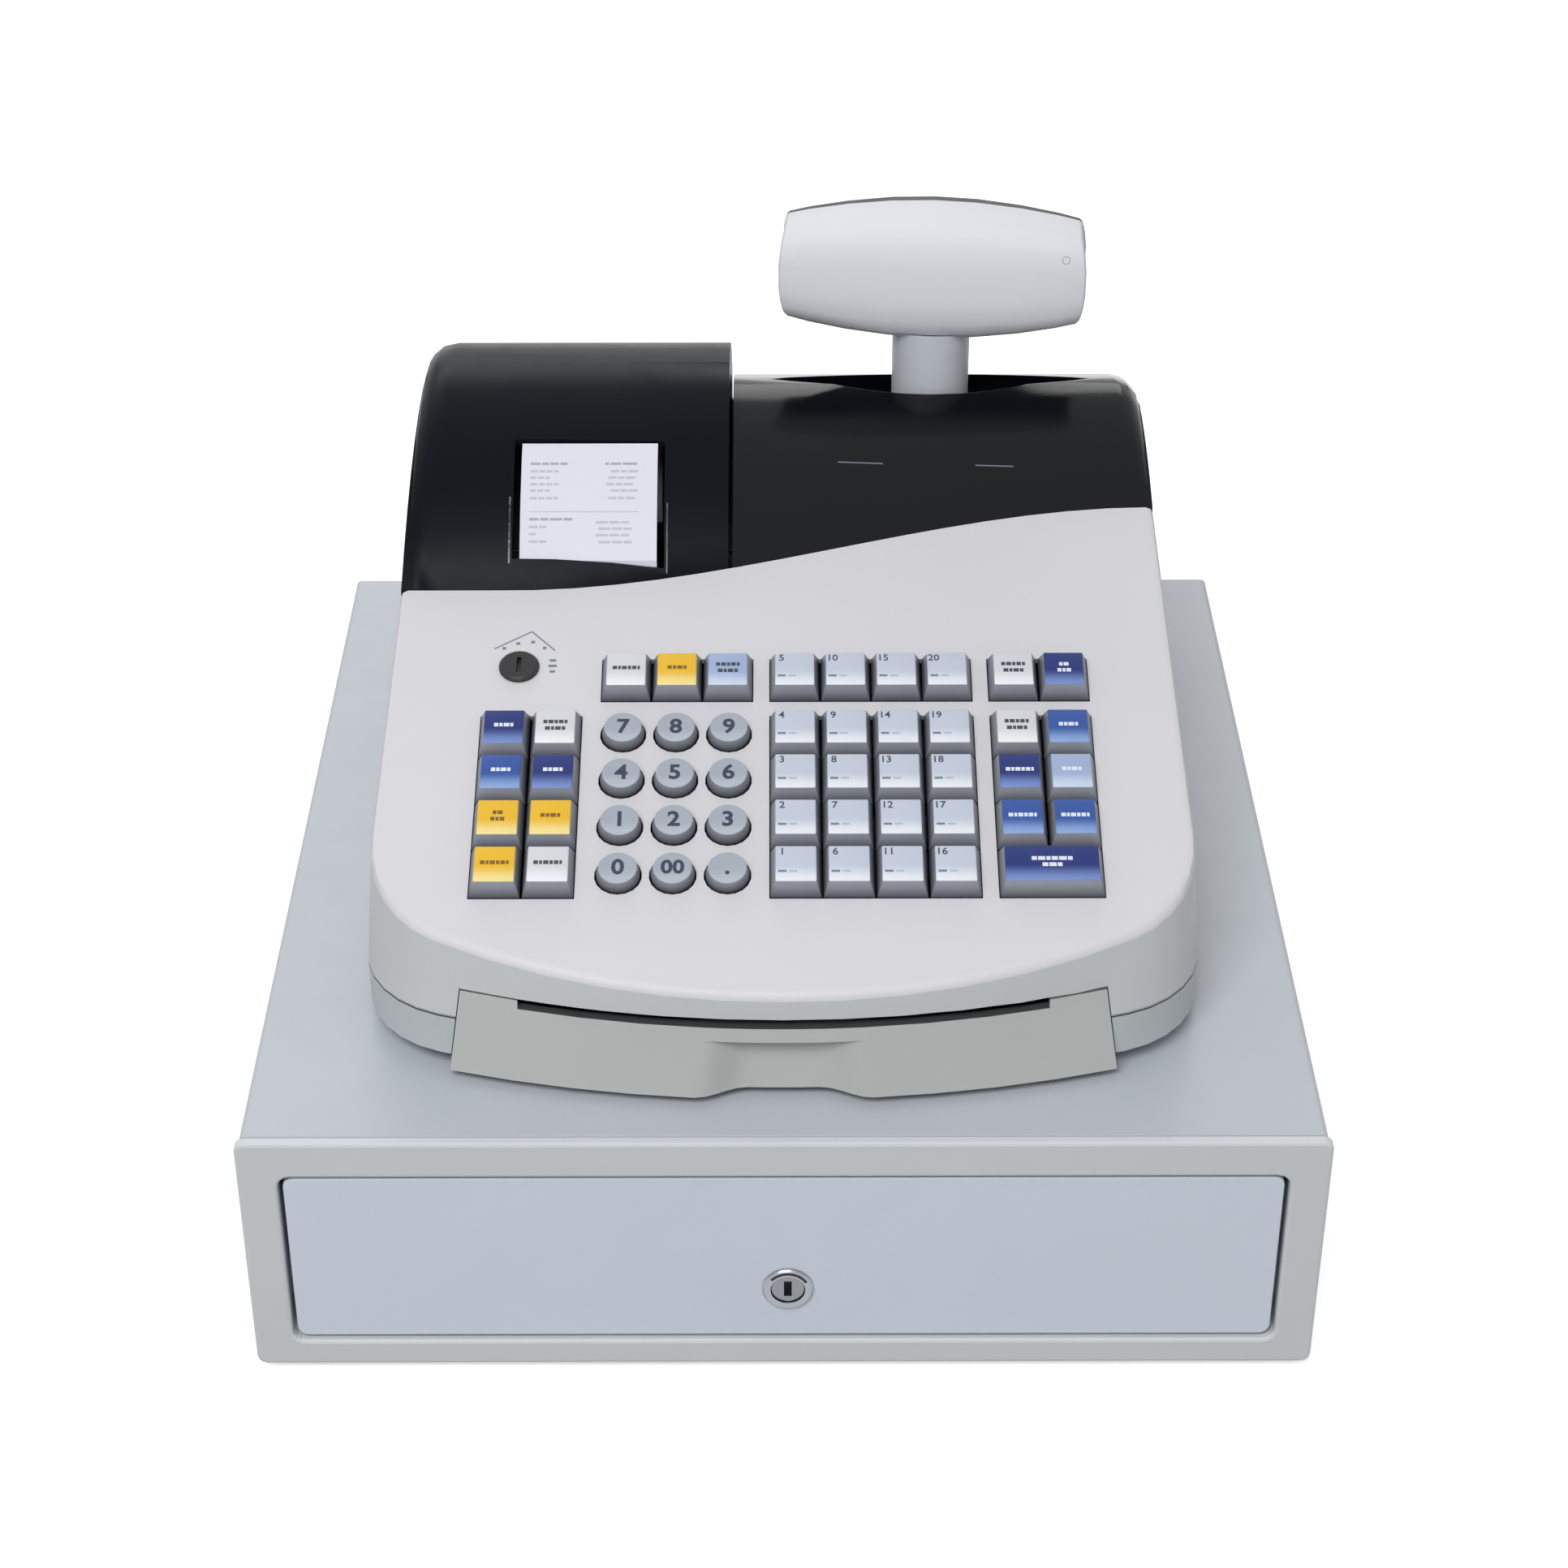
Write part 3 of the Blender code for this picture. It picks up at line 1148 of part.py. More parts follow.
def across_panel(z, half):
    """Places across the panel, closer together over the scallop."""
    inner = scallop_half(z)
    right = [inner * share for share in (0.2, 0.4, 0.52, 0.64, 0.76, 0.88, 1.0)]
    right += [inner + (half - inner) * share for share in (0.25, 0.5, 0.75, 1.0)]
    return [-x for x in right[::-1]] + [0.0] + right


def make_tray():
    levels = [TRAY_BOTTOM_Z, SCALLOP_TOP_Z - SCALLOP_LIP, SCALLOP_TOP_Z, TRAY_TOP_Z]
    sections = []
    for z in levels:
        lean = (TRAY_BOTTOM_HALF - TRAY_TOP_HALF) / (TRAY_TOP_Z - TRAY_BOTTOM_Z)
        half = TRAY_BOTTOM_HALF - lean * (z - TRAY_BOTTOM_Z)
        front, back = [], []
        for x, y in nose_line(z, 0.0, across_panel(z, half)):
            pressed = scallop_depth(x, z)
            front.append((x, y + pressed, z))
            back.append((x, y + TRAY_PANEL + pressed, z))
        sections.append(front + back[::-1])
    tray = add("slip_tray", loft(sections, "slip_tray"), (0.76, 0.78, 0.79), 0.5)

    inner, back_y = TRAY_INNER_HALF, LOW_NOSE_Y + TRAY_LENGTH
    pan = tray_inside(inner, 0.5 * TRAY_PANEL, back_y, TRAY_FLOOR_Z - TRAY_WALL, TRAY_SIDE_TOP_Z, "tray_pan")
    join(tray, helper("tray_pan", pan))
    hollow = tray_inside(
        inner - TRAY_WALL, TRAY_PANEL - GAP, back_y - TRAY_WALL, TRAY_FLOOR_Z, TRAY_TOP_Z + OVERRUN, "tray_hollow"
    )
    cut(tray, helper("tray_hollow", hollow))
    slot_low = TRAY_TOP_Z - SLOT_HEIGHT
    slot = box((-SLOT_HALF, LOW_NOSE_Y - CORNER_RADIUS, slot_low), (SLOT_HALF, PANEL_SEAT_Y, TRAY_TOP_Z + OVERRUN))
    cut(tray, helper("slip_slot", slot))


def tray_inside(half, behind, back_y, low, high, name):
    """A box behind the panel whose front follows the panel's bow and scallop."""
    front = []
    for x, y in nose_line(PARTING_Z, 0.0, across_panel(TRAY_BOTTOM_Z, half)):
        front.append((x, y + behind + scallop_depth(x, TRAY_BOTTOM_Z)))
    plan = front + [(half, back_y), (-half, back_y)]
    return loft([[(x, y, z) for x, y in plan] for z in (low, high)], name)


# Keys

def key_section(half_u, half_v, w, centre_v=0.0, corner=KEY_CORNER):
    """An eight-sided outline: a rectangle with its corners taken off."""
    a, b, c = half_u, half_v, min(corner, half_u / 2)
    plan = [(a, c - b), (a, b - c), (a - c, b), (c - a, b), (-a, b - c), (-a, c - b), (c - a, -b), (a - c, -b)]
    return [(u, v + centre_v, w) for u, v in plan]


CAP_SIDE_IN, CAP_FRONT_IN = 0.0016, 0.0026
CAP_EDGE = 0.0006


def square_key(columns=1, foot_w=None):
    """A moulded cap: a skirt, sloping sides and a flat top; with a stem, or standing on the plate."""
    half_u = columns * KEY_PITCH / 2 - KEY_GAP / 2
    half_v = KEY_ROW_PITCH / 2 - KEY_GAP / 2
    top_u, top_v = half_u - CAP_SIDE_IN, half_v - CAP_FRONT_IN
    shoulder = KEY_TOP_W - 4 * CAP_EDGE
    cap = [
        key_section(half_u, half_v, KEY_SKIRT_W),
        key_section(half_u - CAP_EDGE / 2, half_v - CAP_EDGE / 2, KEY_SKIRT_W + 5 * CAP_EDGE),
        key_section(top_u + CAP_EDGE, top_v + CAP_EDGE, shoulder + 2 * CAP_EDGE, CAP_EDGE),
        key_section(top_u, top_v, KEY_TOP_W, CAP_EDGE),
    ]
    if foot_w is not None:
        foot = key_section(half_u - CAP_EDGE / 2, half_v - CAP_EDGE / 2, foot_w)
        return loft([section[1::2] for section in [foot] + cap[1:]], "fixed_key")
    stem = KEY_STEM_WIDTH / 2
    low = PLATE_TOP_W - STEM_LENGTH
    feet = [key_section(stem, stem, low), key_section(stem, stem, KEY_SKIRT_W)]
    return loft(feet + cap, "square_key")


def round_key():
    r = ROUND_KEY_RADIUS
    stem = KEY_STEM_WIDTH / 2
    profile = [
        (0, ROUND_KEY_TOP_W),
        (r - 2 * CAP_EDGE, ROUND_KEY_TOP_W),
        (r - CAP_EDGE, ROUND_KEY_TOP_W - CAP_EDGE),
        (r, KEY_SKIRT_W),
        (stem, KEY_SKIRT_W),
        (stem, PLATE_TOP_W - STEM_LENGTH),
        (0, PLATE_TOP_W - STEM_LENGTH),
    ]
    return turned("round_key", profile, 14)


WHITE, YELLOW, NAVY = (0.90, 0.91, 0.93), (0.94, 0.77, 0.25), (0.13, 0.19, 0.56)
BLUE, PALE, NUMBER = (0.28, 0.44, 0.79), (0.68, 0.75, 0.87), (0.66, 0.69, 0.73)


def left_keys():
    """Names and colours of the left block, from the bottom row up."""
    return [
        [("key_left_1_1", YELLOW), ("key_left_1_2", WHITE)],
        [("key_left_2_1", YELLOW), ("key_left_2_2", YELLOW)],
        [("key_left_3_1", BLUE), ("key_left_3_2", NAVY)],
        [("key_left_4_1", NAVY), ("key_left_4_2", WHITE)],
    ]


def right_keys():
    """Names and colours of the right block above its wide key, from the bottom row up."""
    return [
        [("key_right_2_1", BLUE), ("key_right_2_2", BLUE)],
        [("key_right_3_1", NAVY), ("key_right_3_2", PALE)],
        [("key_right_4_1", WHITE), ("key_right_4_2", BLUE)],
    ]


def place_on_deck(obj, u, v):
    obj.matrix_world = DECK_FRAME @ Matrix.Translation((u, v, 0))


def make_keys():
    """Every key that moves, and the holes for their stems; returns stem places for the plate."""
    square, round_ = [], []
    for number, u, v in number_places():
        key = add(f"key_number_{number}", round_key(), NUMBER, 0.4, smooth=radians(35))
        place_on_deck(key, u, v)
        round_.append((u, v))
    blocks = ((left_keys(), LEFT_BLOCK_U, 0), (right_keys(), RIGHT_BLOCK_U, 1))
    for rows, first_u, first_row in blocks:
        for row, names in enumerate(rows, first_row):
            for column, (name, colour) in enumerate(names):
                u, v = first_u + column * KEY_PITCH, MAIN_ROWS_V + row * KEY_ROW_PITCH
                place_on_deck(add(name, square_key(), colour, 0.4), u, v)
                square.append((u, v))
    wide_u = RIGHT_BLOCK_U + KEY_PITCH / 2
    place_on_deck(add("key_right_wide", square_key(columns=2), NAVY, 0.4), wide_u, MAIN_ROWS_V)
    square.append((wide_u, MAIN_ROWS_V))
    return square, round_


def make_keyboard_plate(square, round_):
    low = (LEFT_BLOCK_U - KEY_PITCH, MAIN_ROWS_V - KEY_ROW_PITCH, PLATE_TOP_W - PLATE_THICKNESS)
    high = (RIGHT_BLOCK_U + 2 * KEY_PITCH, TOP_ROW_V + KEY_ROW_PITCH, PLATE_TOP_W)
    board = add("keyboard_plate", box(low, high, "keyboard_plate"), (0.20, 0.21, 0.24), 0.5)
    place_on_deck(board, 0, 0)
    hole = KEY_STEM_WIDTH / 2 + GAP
    z0, z1 = PLATE_TOP_W - PLATE_THICKNESS - OVERRUN, PLATE_TOP_W + OVERRUN
    holes = [box((u - hole, v - hole, z0), (u + hole, v + hole, z1)) for u, v in square]
    holes += [moved(cylinder(hole * ROUND_HOLE_SHARE, z0, z1, 10), move(u, v)) for u, v in round_]
    shaft = SWITCH_RADIUS - SWITCH_RISE + GAP
    holes.append(moved(cylinder(shaft, z0, z1, 16), move(SWITCH_U, SWITCH_V)))
    stem_holes = helper("stem_holes", joined_meshes("stem_holes", holes))
    stem_holes.parent = board
    cut(board, stem_holes)
    fixed = []
    for name, first_u, columns, first_v, rows in block_spans():
        if name in ("left", "right"):
            continue
        for row in range(rows):
            for column in range(columns):
                u, v = first_u + column * KEY_PITCH, first_v + row * KEY_ROW_PITCH
                key = square_key(foot_w=PLATE_TOP_W - PLATE_THICKNESS / 2)
                fixed.append(moved(key, move(u, v)))
    fixed_keys = helper("fixed_keys", joined_meshes("fixed_keys", fixed))
    fixed_keys.parent = board
    join(board, fixed_keys)


def make_switch():
    """The key switch: a round face with a slot, on a shaft through the deck."""
    shaft = SWITCH_RADIUS - SWITCH_RISE
    profile = [
        (0, SWITCH_RISE),
        (SWITCH_RADIUS - SWITCH_RISE / 2, SWITCH_RISE),
        (SWITCH_RADIUS, SWITCH_RISE / 2),
        (SWITCH_RADIUS, GAP),
        (shaft, GAP),
        (shaft, -SWITCH_DEPTH),
        (0, -SWITCH_DEPTH),
    ]
    switch = add("mode_switch", turned("mode_switch", profile, 24), (0.05, 0.05, 0.05), 0.35, smooth=radians(35))
    slot = box(
        (-SWITCH_SLOT / 2, -0.5 * SWITCH_RADIUS, 0), (SWITCH_SLOT / 2, 0.5 * SWITCH_RADIUS, SWITCH_RISE + OVERRUN), "switch_slot"
    )
    slot_helper = helper("switch_slot", slot)
    slot_helper.parent = switch
    cut(switch, slot_helper)
    place_on_deck(switch, SWITCH_U, SWITCH_V)


# Covers

def smooth_run(start, end, bulge, count):
    """Points from start to end along a bowed line, the ends left out; bulge is a share of the length."""
    a, b = Vector(start), Vector(end)
    along = b - a
    across = Vector((-along.y, along.x))
    found = []
    for i in range(1, count + 1):
        t = i / (count + 1)
        found.append(tuple(a + along * t + across * bulge * 4 * t * (1 - t)))
    return found


def cover_profile(x, crest, back_top_z, drop, bulges):
    """A cover's side view at one place across, anticlockwise from the bottom front, as (y, z)."""
    base = SHOULDER_Z + GAP
    front_y = boundary_y(x) + COVER_SEAM
    back_y = HOUSING_BACK_Y - GAP
    hinge = HOOD_HINGE_RADIUS
    rise = (front_y, deck_z(front_y))
    top = (crest[0], crest[1] - drop)
    back = (back_y, back_top_z - drop * 0.6)
    knee = arc((back_y - hinge, base + hinge), hinge, -pi / 2, 0, 4)
    up = smooth_run(rise, top, bulges[0], 5)
    down = smooth_run(top, back, bulges[1], 4)
    return [(front_y, base)] + knee + [back] + down[::-1] + [top] + up[::-1] + [rise]


def cover_loft(stations, crest, back_top_z, wall, name, bulges=(FRONT_BULGE, BACK_BULGE)):
    """A cover's outer skin, or with a wall its inside, which runs out of the bottom."""
    sections = []
    for x, drop in stations:
        side = cover_profile(x, crest, back_top_z, drop, bulges)
        if wall:
            side = inset_outline(side, wall)
            low = SHOULDER_Z - OVERRUN
            hinge_points = 5
            side = [(y, low) if i < hinge_points - 1 else (y, z) for i, (y, z) in enumerate(side)]
            side = [side[0]] + [(side[4][0] - (4 - i) * GAP, low) for i in range(1, 5)] + side[5:]
        sections.append([(x, y, z) for y, z in side])
    return loft(sections, name)


def end_drops(x0, x1, corner, at_low, at_high):
    """Stations across a cover, with the top rounded down towards one end or the other."""
    found = []
    angles = (0.0, 30.0, 60.0, 90.0)
    rounded = [(corner * (1 - sin(radians(a))), corner * (1 - cos(radians(a)))) for a in angles]
    if at_low:
        found += [(x0 + along, down) for along, down in reversed([(c, d) for c, d in rounded])]
    else:
        found.append((x0, 0.0))
    if at_high:
        found += [(x1 - along, down) for along, down in rounded]
    else:
        found.append((x1, 0.0))
    return found


def make_printer_cover():
    left = -(HIGH_HALF_WIDTH - COVER_SIDE_IN)
    crest = (HOOD_CREST_Y, HOOD_CREST_Z)
    outer_stations = end_drops(left, PRINTER_RIGHT_X, HOOD_CORNER, True, False)
    middle_from = left + HOOD_CORNER
    middle = [(middle_from + (PRINTER_RIGHT_X - middle_from) * share, 0.0) for share in (0.2, 0.4, 0.6, 0.8)]
    outer_stations = outer_stations[:-1] + middle + outer_stations[-1:]
    outer_stations = [(-HALF_WIDTH, outer_stations[0][1])] + outer_stations
    inner_stations = end_drops(left + HOOD_WALL, PRINTER_RIGHT_X - HOOD_WALL, HOOD_CORNER - HOOD_WALL, True, False)
    inner_stations = inner_stations[:-1] + middle + inner_stations[-1:]
    inner_stations = [(-HALF_WIDTH, inner_stations[0][1])] + inner_stations
    bulges = (HOOD_BULGE, HOOD_BULGE)
    shift = Matrix.Translation((0, -HINGE_Y, -HINGE_Z))
    skin = cover_loft(outer_stations, crest, HOOD_BACK_TOP_Z, 0.0, "printer_cover", bulges)
    hood = add("printer_cover", moved(skin, shift), (0.11, 0.12, 0.13), 0.35)
    hood.location = (0, HINGE_Y, HINGE_Z)
    keep_inside(hood, helper("hood_limit", block(SHOULDER_Z - OVERRUN, TALL_Z, 0.0, "hood_limit")))
    hollow = cover_loft(inner_stations, crest, HOOD_BACK_TOP_Z, HOOD_WALL, "hood_inside", bulges)
    inside = helper("hood_inside", hollow)
    limit = helper("hood_inner_limit", block(SHOULDER_Z - 2 * OVERRUN, TALL_Z, HOOD_WALL, "hood_inner_limit"))
    keep_inside(inside, limit)
    cut(hood, inside)
    half = PAPER_WIDTH / 2 + WINDOW_MARGIN
    front = boundary_y(PAPER_X) + WINDOW_BOTTOM_SETBACK + HOOD_WALL
    window = box((PAPER_X - half, front, SHOULDER_Z + HOOD_WALL), (PAPER_X + half, WINDOW_TOP_Y, TALL_Z), "hood_window")
    cut(hood, helper("hood_window", window))


HINGE_Y = HOUSING_BACK_Y - GAP - HOOD_HINGE_RADIUS
HINGE_Z = SHOULDER_Z + GAP + HOOD_HINGE_RADIUS


def lens_outline(grow=0.0):
    """The eye-shaped well's outline: two arcs that meet at its ends."""
    half, width = LENS_HALF_LENGTH + grow, LENS_HALF_WIDTH + grow
    radius = (half ** 2 + width ** 2) / (2 * width)
    lean = asin(half / radius)
    front = arc((NECK_X, NECK_Y - width + radius), radius, -pi / 2 - lean, -pi / 2 + lean, 13)
    back = arc((NECK_X, NECK_Y + width - radius), radius, pi / 2 - lean, pi / 2 + lean, 13)
    return front + back[1:-1]


def make_rear_cover():
    right = HIGH_HALF_WIDTH - COVER_SIDE_IN
    crest = (REAR_CREST_Y, REAR_CREST_Z)
    outer_stations = end_drops(REAR_LEFT_X, right, REAR_CORNER, False, True)
    outer_stations += [(HALF_WIDTH, outer_stations[-1][1])]
    steps = 7
    middle = [(REAR_LEFT_X + (right - REAR_CORNER - REAR_LEFT_X) * i / steps, 0.0) for i in range(1, steps)]
    outer_stations = outer_stations[:1] + middle + outer_stations[1:]
    inner_stations = end_drops(REAR_LEFT_X + WALL, right - WALL, REAR_CORNER - WALL, False, True)
    inner_stations += [(HALF_WIDTH, inner_stations[-1][1])]
    inner_stations = inner_stations[:1] + middle + inner_stations[1:]
    skin = cover_loft(outer_stations, crest, REAR_BACK_TOP_Z, 0.0, "rear_cover")
    cover = add("rear_cover", skin, (0.14, 0.15, 0.21), 0.12)
    keep_inside(cover, helper("rear_limit", block(SHOULDER_Z - OVERRUN, TALL_Z, 0.0, "rear_limit")))
    inside = helper("rear_inside", cover_loft(inner_stations, crest, REAR_BACK_TOP_Z, WALL, "rear_inside"))
    keep_inside(inside, helper("rear_inner_limit", block(SHOULDER_Z - 2 * OVERRUN, TALL_Z, WALL, "rear_inner_limit")))
    well_low = LENS_FLOOR_Z - WALL
    well = moved(plate([lens_outline(WALL)], TALL_Z - well_low, "well_wall"), move(z=well_low))
    cut(inside, helper("well_wall", well))
    cut(cover, inside)
    hollow = moved(plate([lens_outline()], TALL_Z - LENS_FLOOR_Z, "well"), move(z=LENS_FLOOR_Z))
    cut(cover, helper("well", hollow))
    hole = cylinder(NECK_RADIUS + GAP, well_low - OVERRUN, TALL_Z, 28, "neck_hole")
    cut(cover, helper("neck_hole", moved(hole, move(NECK_X, NECK_Y))))


# Customer display

POD_UNDERSIDE_Z = POD_CENTRE_Z - POD_HEIGHT / 2


def make_neck():
    top = POD_UNDERSIDE_Z + POD_CROWN / 2
    low = NECK_BOTTOM_Z
    inner = NECK_RADIUS - NECK_WALL
    profile = [
        (inner, top - POD_CENTRE_Z),
        (NECK_RADIUS, top - POD_CENTRE_Z),
        (NECK_RADIUS, low - POD_CENTRE_Z),
        (inner, low - POD_CENTRE_Z),
    ]
    neck = add("display_neck", turned("display_neck", profile, 28, closed=True), (0.72, 0.75, 0.78), 0.45, smooth=radians(40))
    neck.location = (NECK_X, NECK_Y, POD_CENTRE_Z)


def pod_section(x_share, inset=0.0):
    """A closed rounded section across the pod, at a share of its half length."""
    x = x_share * POD_WIDTH / 2
    fall = x_share * x_share
    half_z = POD_HEIGHT / 2 - POD_CROWN * fall - inset
    half_y = POD_THICKNESS / 2 - POD_BULGE * fall - inset
    points = []
    count = 18
    for i in range(count):
        turn = 2 * pi * (i + 0.5) / count
        c, s = cos(turn), sin(turn)
        y = half_y * abs(c) ** POD_POWER_Y * (1 if c > 0 else -1)
        z = half_z * abs(s) ** POD_POWER_Z * (1 if s > 0 else -1)
        points.append((x - POD_BULGE * (z / POD_HEIGHT) ** 2 * 4 * x_share, y, z))
    return points


def make_pod():
    half = [0.0, 0.3, 0.6, 0.85, *POD_END_SHARES]
    shares = [-share for share in half[:0:-1]] + half
    insets = dict(zip(POD_END_SHARES, POD_END_INSETS))
    sections = [pod_section(share, insets.get(abs(share), 0.0)) for share in shares]
    pod = add("customer_display", loft(sections, "customer_display"), (0.86, 0.86, 0.88), 0.45, smooth=radians(50))
    half_w, half_h = WINDOW_LENGTH / 2, WINDOW_HEIGHT / 2
    front = POD_THICKNESS / 2 - WINDOW_THICKNESS
    recess = box((-half_w, front - POD_BULGE, -half_h), (half_w, POD_THICKNESS, half_h), "window_recess")
    recess_helper = helper("window_recess", recess)
    recess_helper.parent = pod
    cut(pod, recess_helper)
    socket_top = POD_UNDERSIDE_Z + POD_CROWN / 2 + GAP - POD_CENTRE_Z
    socket = cylinder(NECK_RADIUS + GAP, -POD_HEIGHT, socket_top, 28, "neck_socket")
    socket_helper = helper("neck_socket", socket)
    socket_helper.parent = pod
    cut(pod, socket_helper)
    pod.location = (NECK_X, NECK_Y, POD_CENTRE_Z)
    pod.rotation_euler = (0, 0, POD_YAW)
    back = front - POD_BULGE
    window = box(
        (-half_w + GAP, back + GAP, -half_h + GAP),
        (half_w - GAP, back + GAP + WINDOW_THICKNESS, half_h - GAP),
        "display_window",
    )
    glass = add("display_window", window, (0.05, 0.07, 0.08), 0.1)
    glass.location = (NECK_X, NECK_Y, POD_CENTRE_Z)
    glass.rotation_euler = (0, 0, POD_YAW)


# Operator display, on two legs behind the glossy slope

def make_operator_display():
    centre_x = NECK_X
    y = BOUNDARY_RIGHT_Y + 0.010
    half = DISPLAY_WIDTH / 2
    low_z = SHOULDER_Z - DISPLAY_HEIGHT / 2
    module = box((centre_x - half, y, low_z), (centre_x + half, y + DISPLAY_DEPTH, low_z + DISPLAY_HEIGHT), "operator_display")
    display = add("operator_display", module, (0.08, 0.09, 0.10), 0.3)
    leg = BOSS_RADIUS
    floor = CASE_FLOOR_Z + WALL + GAP
    legs = []
    for side in (-1, 1):
        x = centre_x + side * (half - 2 * leg)
        legs.append(box((x - leg, y + DISPLAY_DEPTH / 4, floor), (x + leg, y + DISPLAY_DEPTH * 0.75, low_z + leg)))
    join(display, helper("display_legs", joined_meshes("display_legs", legs)))


# Printer

CHEEK_LEFT = PAPER_X - PAPER_WIDTH / 2 - 2 * RUNNING_GAP
CHEEK_RIGHT = PAPER_X + PAPER_WIDTH / 2 + 2 * RUNNING_GAP


def cheek_outline():
    """The printer's side plate, drawn in Y and Z, with open notches for the platen and the roll."""
    floor = CASE_FLOOR_Z + WALL + GAP
    pin = PLATEN_PIN_RADIUS + GAP
    front_y = PLATEN_Y - 3.4 * PLATEN_RADIUS
    roll_front = ROLL_Y - ROLL_RADIUS - 3 * RUNNING_GAP
    roll_back = ROLL_Y + ROLL_RADIUS + 3 * RUNNING_GAP
    top = PLATEN_Z + PLATEN_RADIUS
    notch = arc((PLATEN_Y, PLATEN_Z), pin, pi, 2 * pi, 6)
    return (
        [(front_y, floor), (roll_back, floor), (roll_back, ROLL_Z), (roll_front, ROLL_Z)]
        + [(roll_front - CHEEK, top), (PLATEN_Y + pin, top)]
        + notch[::-1]
        + [(PLATEN_Y - pin, top), (front_y, top)]
    )


def bucket_outline():
    """The half-round trough that the roll lies in, drawn in Y and Z."""
    inner = ROLL_RADIUS + RUNNING_GAP
    outer = inner + CHEEK
    return arc((ROLL_Y, ROLL_Z), outer, pi, 2 * pi, 15) + arc((ROLL_Y, ROLL_Z), inner, 2 * pi, pi, 15)


def make_printer():
    outline = cheek_outline()
    left = side_plate([outline], CHEEK_LEFT - CHEEK, CHEEK_LEFT, "printer_frame")
    frame = add("printer_frame", left, (0.18, 0.18, 0.19), 0.5)
    right = side_plate([outline], CHEEK_RIGHT, CHEEK_RIGHT + CHEEK, "printer_cheek")
    trough = side_plate([bucket_outline()], CHEEK_LEFT - CHEEK / 2, CHEEK_RIGHT + CHEEK / 2, "roll_trough")
    floor = CASE_FLOOR_Z + WALL + GAP
    front_y = PLATEN_Y - 3.4 * PLATEN_RADIUS
    roll_back = ROLL_Y + ROLL_RADIUS + 3 * RUNNING_GAP
    deck = box((CHEEK_LEFT - CHEEK / 2, front_y, floor), (CHEEK_RIGHT + CHEEK / 2, roll_back, floor + CHEEK), "printer_floor")
    head_y = PLATEN_Y - PLATEN_RADIUS - HEAD_THICKNESS - 2 * RUNNING_GAP
    head = box(
        (CHEEK_LEFT - CHEEK / 2, head_y, PLATEN_Z - 2 * PLATEN_RADIUS),
        (CHEEK_RIGHT + CHEEK / 2, head_y + HEAD_THICKNESS, PLATEN_Z + PLATEN_RADIUS),
        "print_head",
    )
    for name, mesh in (("printer_cheek", right), ("roll_trough", trough), ("printer_floor", deck), ("print_head", head)):
        join(frame, helper(name, mesh))

    half = PAPER_WIDTH / 2
    roll_profile = [
        (ROLL_CORE_RADIUS, half),
        (ROLL_RADIUS, half),
        (ROLL_RADIUS, -half),
        (ROLL_CORE_RADIUS, -half),
    ]
    roll_mesh = moved(turned("paper_roll", roll_profile, 28, closed=True), ALONG_X)
    roll = add("paper_roll", roll_mesh, (0.93, 0.93, 0.92), 0.8, smooth=radians(30))
    roll.location = (PAPER_X, ROLL_Y, ROLL_Z)

    pin_half = half + 2 * RUNNING_GAP + CHEEK
    r, pin = PLATEN_RADIUS, PLATEN_PIN_RADIUS
    platen_profile = [(0, pin_half), (pin, pin_half), (pin, half), (r, half), (r, -half), (pin, -half), (pin, -pin_half), (0, -pin_half)]
    platen_mesh = moved(turned("platen_roller", platen_profile, 18), ALONG_X)
    platen = add("platen_roller", platen_mesh, (0.10, 0.10, 0.11), 0.7, smooth=radians(30))
    platen.location = (PAPER_X, PLATEN_Y, PLATEN_Z)


def hood_surface_z(y):
    """The height of the printer cover's outer skin over the paper's middle."""
    front_y = boundary_y(PAPER_X) + COVER_SEAM
    run = [(front_y, deck_z(front_y))]
    run += smooth_run(run[0], (HOOD_CREST_Y, HOOD_CREST_Z), HOOD_BULGE, 5)
    run.append((HOOD_CREST_Y, HOOD_CREST_Z))
    for (y0, z0), (y1, z1) in zip(run, run[1:]):
        if y0 <= y <= y1:
            return z0 + (z1 - z0) * (y - y0) / (y1 - y0)
    return HOOD_CREST_Z


def make_paper():
    """The strip from the platen up through the window, and its printed end lying in it."""
    start_y = PLATEN_Y - PLATEN_RADIUS - 1.5 * RUNNING_GAP
    low = (start_y, PLATEN_Z)
    count = 7
    first = boundary_y(PAPER_X) + WINDOW_BOTTOM_SETBACK + HOOD_WALL + GAP
    shown = [(first, hood_surface_z(first) - 1.5 * HOOD_WALL)]
    for i in range(count):
        y = first + (WINDOW_TOP_Y - HOOD_WALL / 2 - first) * i / (count - 1)
        shown.append((y, hood_surface_z(y) - HOOD_WALL / 4))
    path = [low, (start_y, PLATEN_Z + 1.5 * PLATEN_RADIUS)] + shown
    ribbon = []
    back = []
    t = PAPER_THICKNESS
    for i, (y, z) in enumerate(path):
        before, after = path[max(i - 1, 0)], path[min(i + 1, len(path) - 1)]
        length = hypot(after[0] - before[0], after[1] - before[1])
        across = ((after[1] - before[1]) / length * t, -(after[0] - before[0]) / length * t)
        ribbon.append((y, z))
        back.append((y + across[0], z + across[1]))
    mesh = side_plate([ribbon + back[::-1]], PAPER_X - PAPER_WIDTH / 2, PAPER_X + PAPER_WIDTH / 2, "receipt_paper")
    add("receipt_paper", mesh, (0.95, 0.95, 0.94), 0.8)


